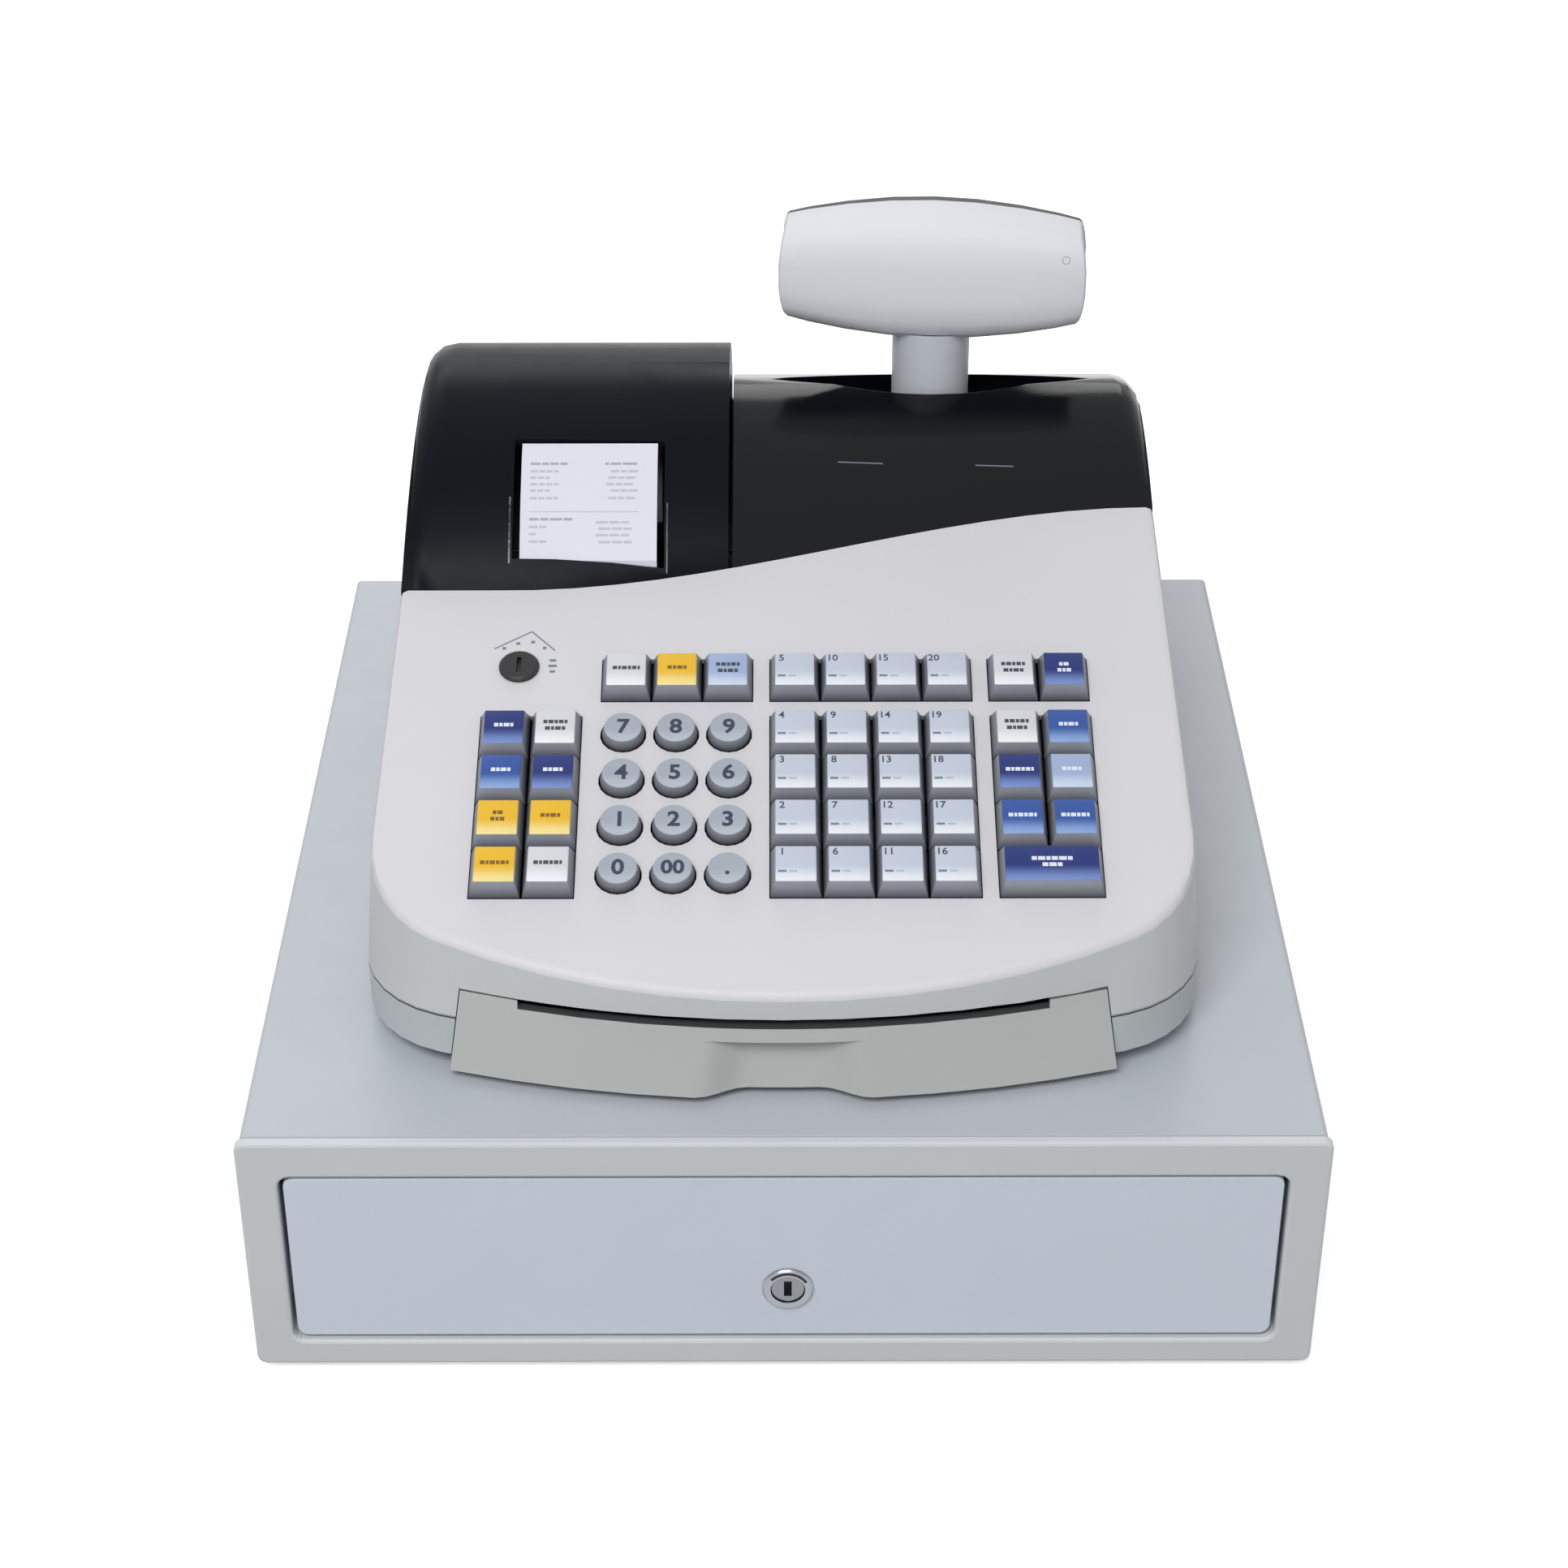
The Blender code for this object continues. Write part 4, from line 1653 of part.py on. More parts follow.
make_cabinet()
make_drawer()
make_release()
make_till()
make_lock()
make_lower_case()
make_upper_case()
make_tray()
make_keyboard_plate(*make_keys())
make_switch()
make_printer_cover()
make_rear_cover()
make_neck()
make_pod()
make_operator_display()
make_board()
make_printer()
make_paper()
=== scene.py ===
"""Looks for an electronic cash register on its cash drawer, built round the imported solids."""

from math import asin, cos, hypot, radians, sin, sqrt

import bmesh
import bpy
from mathutils import Matrix, Vector


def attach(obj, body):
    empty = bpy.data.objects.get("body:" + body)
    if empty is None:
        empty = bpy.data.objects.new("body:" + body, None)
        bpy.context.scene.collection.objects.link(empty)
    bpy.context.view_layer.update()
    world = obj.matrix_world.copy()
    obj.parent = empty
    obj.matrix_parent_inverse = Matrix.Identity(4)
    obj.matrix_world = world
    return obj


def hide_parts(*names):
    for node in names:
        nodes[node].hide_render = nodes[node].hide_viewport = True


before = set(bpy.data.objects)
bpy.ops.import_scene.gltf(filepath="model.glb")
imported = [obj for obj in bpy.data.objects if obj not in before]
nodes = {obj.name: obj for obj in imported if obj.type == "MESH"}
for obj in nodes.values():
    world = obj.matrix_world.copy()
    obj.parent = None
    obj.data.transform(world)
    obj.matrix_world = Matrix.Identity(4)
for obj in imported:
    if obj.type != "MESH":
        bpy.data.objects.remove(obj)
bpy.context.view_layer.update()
housing = "cabinet_and_housing"


# Camera
# It stands in front of the drawer and looks down at the keyboard, as the photograph does.

FILM_WIDTH, LENS, CLIP_START = 36.0, 75.32, 0.05
CAMERA_PLACE = (-0.00282, -1.15907, 0.89157)
CAMERA_TILT, CAMERA_PAN = radians(56.844), radians(-0.1718)
camera_data = bpy.data.cameras.new("camera")
camera_data.sensor_width = FILM_WIDTH
camera_data.lens = LENS
camera_data.clip_start = CLIP_START
camera = bpy.data.objects.new("camera", camera_data)
camera.location = CAMERA_PLACE
camera.rotation_euler = (CAMERA_TILT, 0, CAMERA_PAN)
bpy.context.scene.collection.objects.link(camera)
bpy.context.scene.camera = camera


# Sheet-steel cabinet
# A folded cover over a floor pan with its front frame, in pale blue-grey powder coat.
# The coat is a fine, hard orange peel, and its tone shifts a little over the sheet.

COAT_ROUGH, DRIFT_SCALE, GLOSS_SCALE, GLOSS_SPREAD = 0.08, 28, 90, 0.12
WELD, FLAT_ANGLE = 0.00001, radians(0.4)


def ink(red, green, blue):
    """A colour read as screen values from 0 to 255, in the linear values that a shader takes."""
    found = []
    for value in (red, green, blue):
        share = value / 255
        found.append(share / 12.92 if share <= 0.04045 else ((share + 0.055) / 1.055) ** 2.4)
    return (*found, 1.0)


def tinted(colour, factor):
    """A colour made lighter or darker."""
    return (*[min(1.0, part * factor) for part in colour[:3]], 1.0)


def noise(tree, scale, detail=2.0):
    """A noise that lies still on the piece."""
    place = tree.nodes.new("ShaderNodeTexCoord")
    texture = tree.nodes.new("ShaderNodeTexNoise")
    texture.inputs["Scale"].default_value = scale
    texture.inputs["Detail"].default_value = detail
    tree.links.new(place.outputs["Object"], texture.inputs["Vector"])
    return texture.outputs["Fac"]


def between(tree, factor, low, high):
    """A value from low to high, led by a factor."""
    span = tree.nodes.new("ShaderNodeMapRange")
    span.inputs["To Min"].default_value = low
    span.inputs["To Max"].default_value = high
    tree.links.new(factor, span.inputs["Value"])
    return span.outputs["Result"]


def mixed(tree, factor, first, second):
    """One colour or the other, led by a factor; each is a colour or another node's output."""
    mix = tree.nodes.new("ShaderNodeMix")
    mix.data_type = "RGBA"
    tree.links.new(factor, mix.inputs["Factor"])
    for socket, value in ((mix.inputs[6], first), (mix.inputs[7], second)):
        if isinstance(value, tuple):
            socket.default_value = value
        else:
            tree.links.new(value, socket)
    return mix.outputs[2]


def bumped(tree, shader, height, distance):
    """A fine relief of a real depth."""
    bump = tree.nodes.new("ShaderNodeBump")
    bump.inputs["Distance"].default_value = distance
    tree.links.new(height, bump.inputs["Height"])
    tree.links.new(bump.outputs["Normal"], shader.inputs["Normal"])


def finish(name, colour, rough, grain=(900, 0.00002), drift=0.03, metal=0.0, coat=0.0, shine=0.5):
    """A moulded or painted surface: grain as (scale, depth), and a slow drift of tone and gloss."""
    material = bpy.data.materials.new(name)
    material.use_nodes = True
    tree = material.node_tree
    shader = tree.nodes["Principled BSDF"]
    shader.inputs["Metallic"].default_value = metal
    shader.inputs["Coat Weight"].default_value = coat
    shader.inputs["Coat Roughness"].default_value = COAT_ROUGH
    shader.inputs["Specular IOR Level"].default_value = shine
    cloud = noise(tree, DRIFT_SCALE, 3)
    tone = mixed(tree, cloud, tinted(colour, 1 - drift), tinted(colour, 1 + drift))
    tree.links.new(tone, shader.inputs["Base Color"])
    low, high = rough * (1 - GLOSS_SPREAD), min(1.0, rough * (1 + GLOSS_SPREAD))
    gloss = between(tree, noise(tree, GLOSS_SCALE), low, high)
    tree.links.new(gloss, shader.inputs["Roughness"])
    bumped(tree, shader, noise(tree, grain[0], 1.0), grain[1])
    return material


def paint(node, material):
    """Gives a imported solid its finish."""
    for place in nodes[node].material_slots:
        place.material = material


def deselect_all():
    """Leaves nothing selected."""
    bpy.ops.object.select_all(action="DESELECT")


def choose(piece):
    """Makes a piece the only one that is selected, and the active one."""
    deselect_all()
    piece.select_set(True)
    bpy.context.view_layer.objects.active = piece


def bevelled(piece, width, angle):
    """Rounds the active piece's edges that are sharper than an angle in degrees."""
    bpy.ops.object.modifier_add(type="BEVEL")
    bevel = piece.modifiers[-1]
    bevel.width = width
    bevel.segments = 2
    bevel.angle_limit = radians(angle)
    bpy.ops.object.modifier_apply(modifier=bevel.name)


def shell_of(node, name, angle=32, edge=0.0):
    """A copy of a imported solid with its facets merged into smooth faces, and its edges eased."""
    piece = nodes[node].copy()
    piece.data = nodes[node].data.copy()
    piece.name = name
    bpy.context.scene.collection.objects.link(piece)
    choose(piece)
    if piece.data.has_custom_normals:
        bpy.ops.mesh.customdata_custom_splitnormals_clear()
    bpy.ops.object.mode_set(mode="EDIT")
    bpy.ops.mesh.select_all(action="SELECT")
    bpy.ops.mesh.remove_doubles(threshold=WELD)
    bpy.ops.mesh.dissolve_limited(angle_limit=FLAT_ANGLE)
    bpy.ops.object.mode_set(mode="OBJECT")
    if edge:
        bevelled(piece, edge, angle)
    bpy.ops.object.shade_smooth_by_angle(angle=radians(angle))
    bpy.ops.object.modifier_add(type="WEIGHTED_NORMAL")
    piece.modifiers[-1].keep_sharp = True
    bpy.ops.object.modifier_apply(modifier=piece.modifiers[-1].name)
    return piece


def settle(piece, body, replaced=(), materials=()):
    """Gives a piece its finish, and ties it to its body."""
    if materials:
        piece.data.materials.clear()
        for material in materials:
            piece.data.materials.append(material)
    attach(piece, body)
    if replaced:
        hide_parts(*replaced)


cabinet_coat = finish("cabinet_coat", ink(187, 193, 200), 0.42, (1300, 0.00003))
# The front frame's coat is written lighter than the cover's: painted light that makes up for the weaker
# lamp light on its upright face.
frame_coat_lightened = finish("front_frame_coat_lightened", ink(210, 214, 217), 0.42, (1300, 0.00003))
SHEET_EDGE = 0.0007
cover_sheet = shell_of("cabinet_cover", "cover_sheet", edge=SHEET_EDGE)
settle(cover_sheet, housing, ["cabinet_cover"], [cabinet_coat])
paint("cabinet_base", frame_coat_lightened)


# Cabinet feet
# Four turned rubber pads under the floor pan, matt black with a faint bloom.

foot_rubber = finish("foot_rubber", ink(34, 34, 35), 0.85, (700, 0.00005), 0.10)
for number in (1, 2, 3, 4):
    paint(f"cabinet_foot_{number}", foot_rubber)


# Cash drawer
# A folded tray on side runners, with a separate painted panel for its front.
# The panel's coat matches the cabinet's, a shade bluer, and is written lighter as painted light for its
# upright face; the tray is plain grey inside.

panel_coat_lightened = finish("panel_coat_lightened", ink(216, 223, 236), 0.40, (1300, 0.00003))
tray_coat = finish("drawer_inner_coat", ink(146, 149, 154), 0.50, (1100, 0.00003))
front_panel = shell_of("drawer_front", "front_panel", edge=SHEET_EDGE)
settle(front_panel, "drawer", ["drawer_front"], [panel_coat_lightened])
paint("drawer_box", tray_coat)


# Till insert
# One moulding of black high-impact plastic, leather-grained, with coin cups and note bays.

till_black = finish("till_black", ink(40, 41, 44), 0.55, (1500, 0.00006), 0.06)
till_tray = shell_of("till_insert", "till_tray", edge=0.0002)
settle(till_tray, "drawer", ["till_insert"], [till_black])


# Note clips, drawer latch and its solenoid
# Zinc-plated spring steel, brushed along the strip; the coil is wound with varnished copper wire.

def plated(name, colour, rough, stretch=(400, 40, 400)):
    """Plated steel with fine streaks that run one way."""
    material = finish(name, colour, rough, (500, 0.00001), 0.04, 1.0)
    tree = material.node_tree
    shader = tree.nodes["Principled BSDF"]
    place = tree.nodes.new("ShaderNodeTexCoord")
    turn = tree.nodes.new("ShaderNodeMapping")
    turn.inputs["Scale"].default_value = stretch
    streak = tree.nodes.new("ShaderNodeTexNoise")
    streak.inputs["Scale"].default_value = 3.0
    tree.links.new(place.outputs["Object"], turn.inputs["Vector"])
    tree.links.new(turn.outputs["Vector"], streak.inputs["Vector"])
    gloss = between(tree, streak.outputs["Fac"], rough * 0.7, rough * 1.3)
    tree.links.new(gloss, shader.inputs["Roughness"])
    return material


zinc = plated("zinc_plate", ink(150, 152, 156), 0.45)
coil_wire = plated("coil_wire", ink(176, 104, 58), 0.35, (60, 60, 1400))
for number in (1, 2, 3, 4):
    note_spring = shell_of(f"note_clip_{number}", f"note_spring_{number}")
    settle(note_spring, f"note_clip_{number}", [f"note_clip_{number}"], [zinc])
paint("latch_lever", zinc)
paint("release_solenoid", coil_wire)


# Drawer lock
# A turned ring and a plug with a keyway, both plated. A shallow groove runs over the top of the ring,
# painted dark as painted shade of the recess there.

def solid_box(name, low, high):
    """A box between two corners, with its place in its mesh."""
    middle = [(a + b) / 2 for a, b in zip(low, high)]
    deselect_all()
    bpy.ops.mesh.primitive_cube_add(size=1, location=middle)
    piece = bpy.context.object
    piece.name = name
    piece.scale = [b - a for a, b in zip(low, high)]
    bpy.ops.object.transform_apply(location=True, rotation=True, scale=True)
    return piece


def joined(name, pieces):
    """Several meshes as one piece."""
    deselect_all()
    for piece in pieces:
        piece.select_set(True)
    bpy.context.view_layer.objects.active = pieces[0]
    bpy.ops.object.join()
    pieces[0].name = name
    return pieces[0]


lock_chrome = plated("lock_chrome", ink(150, 152, 158), 0.30, (300, 300, 300))
lock_steel = plated("lock_steel", ink(128, 130, 136), 0.34, (300, 300, 300))
lock_groove_shade = finish("lock_groove_shade", ink(24, 25, 28), 0.5)
paint("lock_plug", lock_steel)

LOCK_X, LOCK_Z = 0.0015, 0.0410
GROOVE_RADIUS, GROOVE_HALF, GROOVE_DEPTH = 0.0080, 0.0006, 0.0003
GROOVE_START, GROOVE_END, GROOVE_STEPS = radians(62), radians(-52), 15
SLACK = 0.0001


def arc_bar(name, middle, radius, half_width, half_depth, start, end, steps):
    """A flat bar bent round a middle point, with its broad sides square to Y."""
    mesh = bpy.data.meshes.new(name)
    build = bmesh.new()
    section = [(-half_width, -half_depth), (half_width, -half_depth)]
    section += [(-across, -deep) for across, deep in section]
    rings = []
    for step in range(steps + 1):
        angle = start + (end - start) * step / steps
        outward = Vector((sin(angle), 0, cos(angle)))
        places = [middle + outward * (radius + across) + Vector((0, deep, 0)) for across, deep in section]
        rings.append([build.verts.new(place) for place in places])
    for near, far in zip(rings, rings[1:]):
        for corner in range(4):
            following = (corner + 1) % 4
            build.faces.new((near[corner], near[following], far[following], far[corner]))
    build.faces.new(rings[0])
    build.faces.new(rings[-1])
    bmesh.ops.recalc_face_normals(build, faces=build.faces)
    build.to_mesh(mesh)
    build.free()
    piece = bpy.data.objects.new(name, mesh)
    bpy.context.scene.collection.objects.link(piece)
    return piece


_, lock_face, _, _ = nodes["lock_barrel"].ray_cast((LOCK_X, -1, LOCK_Z + GROOVE_RADIUS), (0, 1, 0))
lock_middle = Vector((LOCK_X, lock_face.y, LOCK_Z))
lock_ring = shell_of("lock_barrel", "lock_ring")
cutter = arc_bar("groove_cutter", lock_middle, GROOVE_RADIUS, GROOVE_HALF, GROOVE_DEPTH,
                 GROOVE_START, GROOVE_END, GROOVE_STEPS)
choose(lock_ring)
bpy.ops.object.modifier_add(type="BOOLEAN")
lock_ring.modifiers[-1].operation = "DIFFERENCE"
lock_ring.modifiers[-1].object = cutter
bpy.ops.object.modifier_apply(modifier=lock_ring.modifiers[-1].name)
bpy.data.objects.remove(cutter)
settle(lock_ring, "drawer", ["lock_barrel"], [lock_chrome, lock_groove_shade])
# The groove's floor takes the dark colour: painted shade of the recess.
for face in lock_ring.data.polygons:
    offset = face.center - lock_middle
    sunk = GROOVE_DEPTH * 0.4 < offset.y < GROOVE_DEPTH * 1.1
    if sunk and abs(hypot(offset.x, offset.z) - GROOVE_RADIUS) < GROOVE_HALF + SLACK:
        face.material_index = 1


# Lower case
# The register's moulded base pan, a cool grey that meets the upper case at a dark parting line.

PARTING_Z, SEAM, UPRIGHT_LEAN = 0.1390, 0.0008, 0.5


def scored(piece, place, normal):
    """Draws an edge round a piece where a plane meets it."""
    choose(piece)
    bpy.ops.object.mode_set(mode="EDIT")
    bpy.ops.mesh.select_all(action="SELECT")
    bpy.ops.mesh.bisect(plane_co=place, plane_no=normal)
    bpy.ops.object.mode_set(mode="OBJECT")


base_grey = finish("base_grey", ink(190, 195, 197), 0.48, (1500, 0.00004))
seam_dark_and_slot_shade = finish("seam_dark_and_slot_shade", ink(58, 60, 64), 0.7)
lower_shell = shell_of("lower_case", "lower_shell")
settle(lower_shell, housing, ["lower_case"], [base_grey, seam_dark_and_slot_shade])
scored(lower_shell, (0, 0, PARTING_Z - SEAM), (0, 0, 1))
for face in lower_shell.data.polygons:
    if face.center.z > PARTING_Z - SEAM and abs(face.normal.z) < UPRIGHT_LEAN:
        face.material_index = 1


# Upper case
# The sloping top moulding with the key wells, in warm off-white with a fine spark-eroded grain.
# Its upright faces are painted the same cool grey as the base: painted shade of the sides that face away
# from the light above.

SKIRT_LEAN = 0.40
case_white = finish("case_white", ink(215, 214, 218), 0.50, (1700, 0.00004), 0.015)
case_skirt_shade = finish("case_skirt_shade", ink(192, 196, 199), 0.50, (1700, 0.00004), 0.015)
upper_shell = shell_of("upper_case", "upper_shell")
settle(upper_shell, housing, ["upper_case"], [case_white, case_skirt_shade])
# Upright faces above the parting line take the grey: painted shade.
for face in upper_shell.data.polygons:
    if face.normal.z < SKIRT_LEAN and face.center.z > PARTING_Z:
        face.material_index = 1


# Slip tray
# A pull-out tray behind the nose, its front panel pressed in for a finger.
# The slot's upward faces over the panel are painted dark as painted shade inside the slot, and the rest
# of its top edge is painted with the gap's shade.

tray_grey = finish("tray_grey", ink(182, 186, 184), 0.48, (1500, 0.00004))
gap_shade = finish("tray_gap_shade", ink(92, 96, 98), 0.7)
tray_shell = shell_of("slip_tray", "slip_tray_shell", edge=0.0003)
settle(tray_shell, "slip_tray", ["slip_tray"], [tray_grey, seam_dark_and_slot_shade, gap_shade])
SLOT_HALF, SLOT_LOW_Z, FLAT_LEAN = 0.1003, 0.1460, 0.6
# Painted shade: the slot's upward faces take the dark seam colour, the rest of the top edge the gap's
# shade.
for face in tray_shell.data.polygons:
    if face.center.z > SLOT_LOW_Z and face.normal.z > FLAT_LEAN:
        face.material_index = 1 if abs(face.center.x) < SLOT_HALF else 2


# Keys
# Two-shot caps on sloping dark skirts, painted darker towards their foot as painted shade. A square cap
# is paler towards the cashier, a painted highlight on its front, and its legend is printed as a plain
# number or as bars.

SLOPE = radians(17)
DECK_FOOT = (0, -0.1840, 0.1610)
DECK = Matrix.Translation(DECK_FOOT) @ Matrix.Rotation(SLOPE, 4, "X")
KEY_PITCH, KEY_ROW_PITCH = 0.0203, 0.0230
KEY_GAP = 0.0008
SKIRT_LOW, SKIRT_TOP, CAP_LOW, CAP_TOP = -0.0038, 0.0004, 0.0058, 0.0068
CAP_HALF_U, CAP_FRONT, CAP_BACK = 0.0077, 0.0079, 0.0088
STEM_HALF, STEM_LOW = 0.0025, -0.0170
CROWN_IN, CAP_EDGE = 0.0003, 0.0004
LEVEL_LEAN, EASE_ANGLE, SMOOTH_ANGLE = 0.9, 25, 40
FADE_START, FADE_END, CAP_ROUGH, CAP_SHINE = 0.50, 0.84, 0.34, 0.3
HALF_V = KEY_ROW_PITCH / 2 - KEY_GAP / 2
PRINT_LIFT, PRINT_THICKNESS = 0.00001, 0.00005


def select_faces(piece, wanted):
    """In edit mode, selects the faces that a rule wants and no others."""
    mesh = bmesh.from_edit_mesh(piece.data)
    for face in mesh.faces:
        face.select_set(False)
    for face in mesh.faces:
        if wanted(face):
            face.select_set(True)
    bmesh.update_edit_mesh(piece.data)


def top_face(face):
    """A rule for faces that look up."""
    return face.normal.z > LEVEL_LEAN


def draw_up(piece, half_u, front, back, level):
    """Extrudes the top face up to a level, where it spans the given reach on each side."""
    select_faces(piece, top_face)
    corners = [vertex.co.copy() for vertex in bmesh.from_edit_mesh(piece.data).verts if vertex.select]
    wide = max(corner.x for corner in corners)
    near, far = min(corner.y for corner in corners), max(corner.y for corner in corners)
    middle = (back - front) / 2
    move = (0, middle - (near + far) / 2, level - corners[0].z)
    bpy.ops.mesh.extrude_region_move(TRANSFORM_OT_translate={"value": move})
    scale = (half_u / wide, (front + back) / (far - near), 1)
    bpy.ops.transform.resize(value=scale, center_override=(0, middle, level))


def add_stem(piece, reach):
    """Draws a square stem down from the middle of the skirt's open side."""
    select_faces(piece, lambda face: face.normal.z < -LEVEL_LEAN)
    bpy.ops.mesh.extrude_region_move(TRANSFORM_OT_translate={"value": (0, 0, 0)})
    scale = (STEM_HALF / reach[0], STEM_HALF / reach[1], 1)
    bpy.ops.transform.resize(value=scale, center_override=(0, 0, SKIRT_LOW))
    bpy.ops.mesh.extrude_region_move(TRANSFORM_OT_translate={"value": (0, 0, STEM_LOW - SKIRT_LOW)})


def eased(piece, width):
    """Rounds a key's edges and shades it smooth between them."""
    choose(piece)
    bevelled(piece, width, EASE_ANGLE)
    bpy.ops.object.shade_smooth_by_angle(angle=radians(SMOOTH_ANGLE))


def shade_places(piece, half_v):
    """Writes how far forward and how high each point of a key lies, which its painted highlight and
    painted shade follow.
    """
    forward = piece.data.attributes.new("forward", "FLOAT", "POINT")
    height = piece.data.attributes.new("height", "FLOAT", "POINT")
    for point, rise, vertex in zip(forward.data, height.data, piece.data.vertices):
        point.value = min(max(0.5 - vertex.co.y / (2 * half_v), 0.0), 1.0)
        rise.value = (vertex.co.z - SKIRT_LOW) / (CAP_LOW - SKIRT_LOW)


def square_cap(name, columns):
    """A key in deck axes: an upright skirt, sloping sides, and a cap that leans back a little."""
    half_u = columns * KEY_PITCH / 2 - KEY_GAP / 2
    reach_u = half_u - (KEY_PITCH - KEY_GAP) / 2 + CAP_HALF_U
    piece = solid_box(name, (-half_u, -HALF_V, SKIRT_LOW), (half_u, HALF_V, SKIRT_TOP))
    bpy.ops.object.mode_set(mode="EDIT")
    draw_up(piece, reach_u + CROWN_IN, CAP_FRONT + CROWN_IN, CAP_BACK + CROWN_IN, CAP_LOW)
    draw_up(piece, reach_u, CAP_FRONT, CAP_BACK, CAP_TOP)
    add_stem(piece, (half_u, HALF_V))
    bpy.ops.object.mode_set(mode="OBJECT")
    eased(piece, CAP_EDGE)
    for material in (key_skirt_shaded, cap_white):
        piece.data.materials.append(material)
    for face in piece.data.polygons:
        face.material_index = 1 if face.center.z > (CAP_LOW + CAP_TOP) / 2 else 0
    shade_places(piece, HALF_V)
    return piece


def graded(name, first, second, attribute, start, end, rough):
    """A glossy plastic that passes from one colour to another along an attribute of the key; here it
    paints shade down a skirt and a highlight on a cap's front.
    """
    material = finish(name, first, rough, (1500, 0.00001), 0.02, shine=CAP_SHINE)
    tree = material.node_tree
    shader = tree.nodes["Principled BSDF"]
    place = tree.nodes.new("ShaderNodeAttribute")
    place.attribute_name = attribute
    ease = tree.nodes.new("ShaderNodeMapRange")
    ease.interpolation_type = "SMOOTHSTEP"
    ease.inputs["From Min"].default_value = start
    ease.inputs["From Max"].default_value = end
    tree.links.new(place.outputs["Fac"], ease.inputs["Value"])
    tone = mixed(tree, ease.outputs["Result"], first, second)
    tree.links.new(tone, shader.inputs["Base Color"])
    return material


def highlighted_cap(name, back, front):
    """The plastic of a cap, from its colour at the back to a paler front, which is a painted highlight.
    """
    return graded(name, back, front, "forward", FADE_START, FADE_END, CAP_ROUGH)


# The skirts darken towards their foot: painted shade.
key_skirt_shaded = graded("key_skirt_painted_shade", ink(36, 38, 46), ink(146, 150, 160), "height", 0.20, 1.05, 0.42)
# Each cap is paler at its front: a painted highlight.
cap_white = highlighted_cap("cap_white", ink(214, 216, 222), ink(240, 241, 244))
cap_pale = highlighted_cap("cap_pale", ink(196, 204, 220), ink(232, 236, 244))
cap_sky = highlighted_cap("cap_sky", ink(160, 178, 214), ink(205, 216, 236))
cap_yellow = highlighted_cap("cap_yellow", ink(236, 188, 48), ink(246, 226, 150))
cap_navy = highlighted_cap("cap_navy", ink(34, 50, 118), ink(118, 142, 200))
cap_blue = highlighted_cap("cap_blue", ink(52, 86, 162), ink(138, 168, 218))
cap_number = highlighted_cap("cap_number", ink(166, 174, 186), ink(182, 189, 199))
print_dark = finish("print_dark", ink(58, 62, 74), 0.6)
print_navy = finish("print_navy", ink(44, 52, 74), 0.6)
print_pale = finish("print_pale", ink(226, 232, 246), 0.6)
print_grey = finish("print_grey", ink(118, 124, 140), 0.6)
print_faint = finish("print_faint", ink(176, 184, 202), 0.6)
print_brown = finish("print_brown", ink(120, 88, 28), 0.6)

square_key = square_cap("square_key", 1)
wide_key = square_cap("wide_key", 2)


def copied(piece, name):
    """A copy of a modelled piece with its own mesh."""
    twin = piece.copy()
    twin.data = piece.data.copy()
    twin.name = name
    bpy.context.scene.collection.objects.link(twin)
    return twin


def number_print(body, size, u, v, level, material, bold=0.00006):
    """A number on a cap, as a thin raised print."""
    deselect_all()
    bpy.ops.object.text_add(location=(0, 0, 0))
    text = bpy.context.object
    text.data.body = body
    text.data.size = size
    text.data.align_x = "CENTER"
    text.data.align_y = "CENTER"
    text.data.resolution_u = 3
    text.data.offset = bold
    text.data.extrude = PRINT_THICKNESS / 2
    bpy.ops.object.convert(target="MESH")
    piece = bpy.context.object
    piece.data.transform(Matrix.Translation((u, v, level + PRINT_LIFT + PRINT_THICKNESS / 2)))
    piece.data.materials.clear()
    piece.data.materials.append(material)
    return piece


def bar_print(u, v, width, height, level, material):
    """One bar of a legend."""
    low = (u - width / 2, v - height / 2, level + PRINT_LIFT)
    high = (u + width / 2, v + height / 2, level + PRINT_LIFT + PRINT_THICKNESS)
    bar = solid_box("bar", low, high)
    bar.data.materials.append(material)
    return bar


def on_deck(piece, u, v):
    """Puts a piece on the sloping deck."""
    piece.data.transform(DECK @ Matrix.Translation((u, v, 0)))
    piece.data.update()


def key_with_print(master, name, cap, prints):
    """A copy of a key with its own cap colour, and its legend joined to it."""
    key = copied(master, name)
    key.data.materials[1] = cap
    return joined(name, [key] + prints) if prints else key


WORD_GAP, WORD_HEIGHT = 0.0004, 0.0018


def word_print(words, material):
    """Rows of short blocks in the place of words: each row is its v and its blocks' widths."""
    bars = []
    for v, widths in words:
        along = -(sum(widths) + WORD_GAP * (len(widths) - 1)) / 2
        for width in widths:
            bars.append(bar_print(along + width / 2, v, width, WORD_HEIGHT, CAP_TOP, material))
            along += width + WORD_GAP
    return bars


ONE_WORD = [(0.0010, (0.0018, 0.0011, 0.0020, 0.0013, 0.0017, 0.0010))]
TWO_WORDS = [
    (0.0028, (0.0016, 0.0020, 0.0013, 0.0018, 0.0012)),
    (-0.0006, (0.0020, 0.0012, 0.0022, 0.0014)),
]
PAIR = [(0.0012, (0.0017, 0.0013, 0.0022, 0.0012))]
SHORT_PAIR = [(0.0026, (0.0014, 0.0020)), (-0.0006, (0.0016, 0.0012, 0.0018))]


# Square keys that move
# Left and right blocks of function keys, each on its own stem.

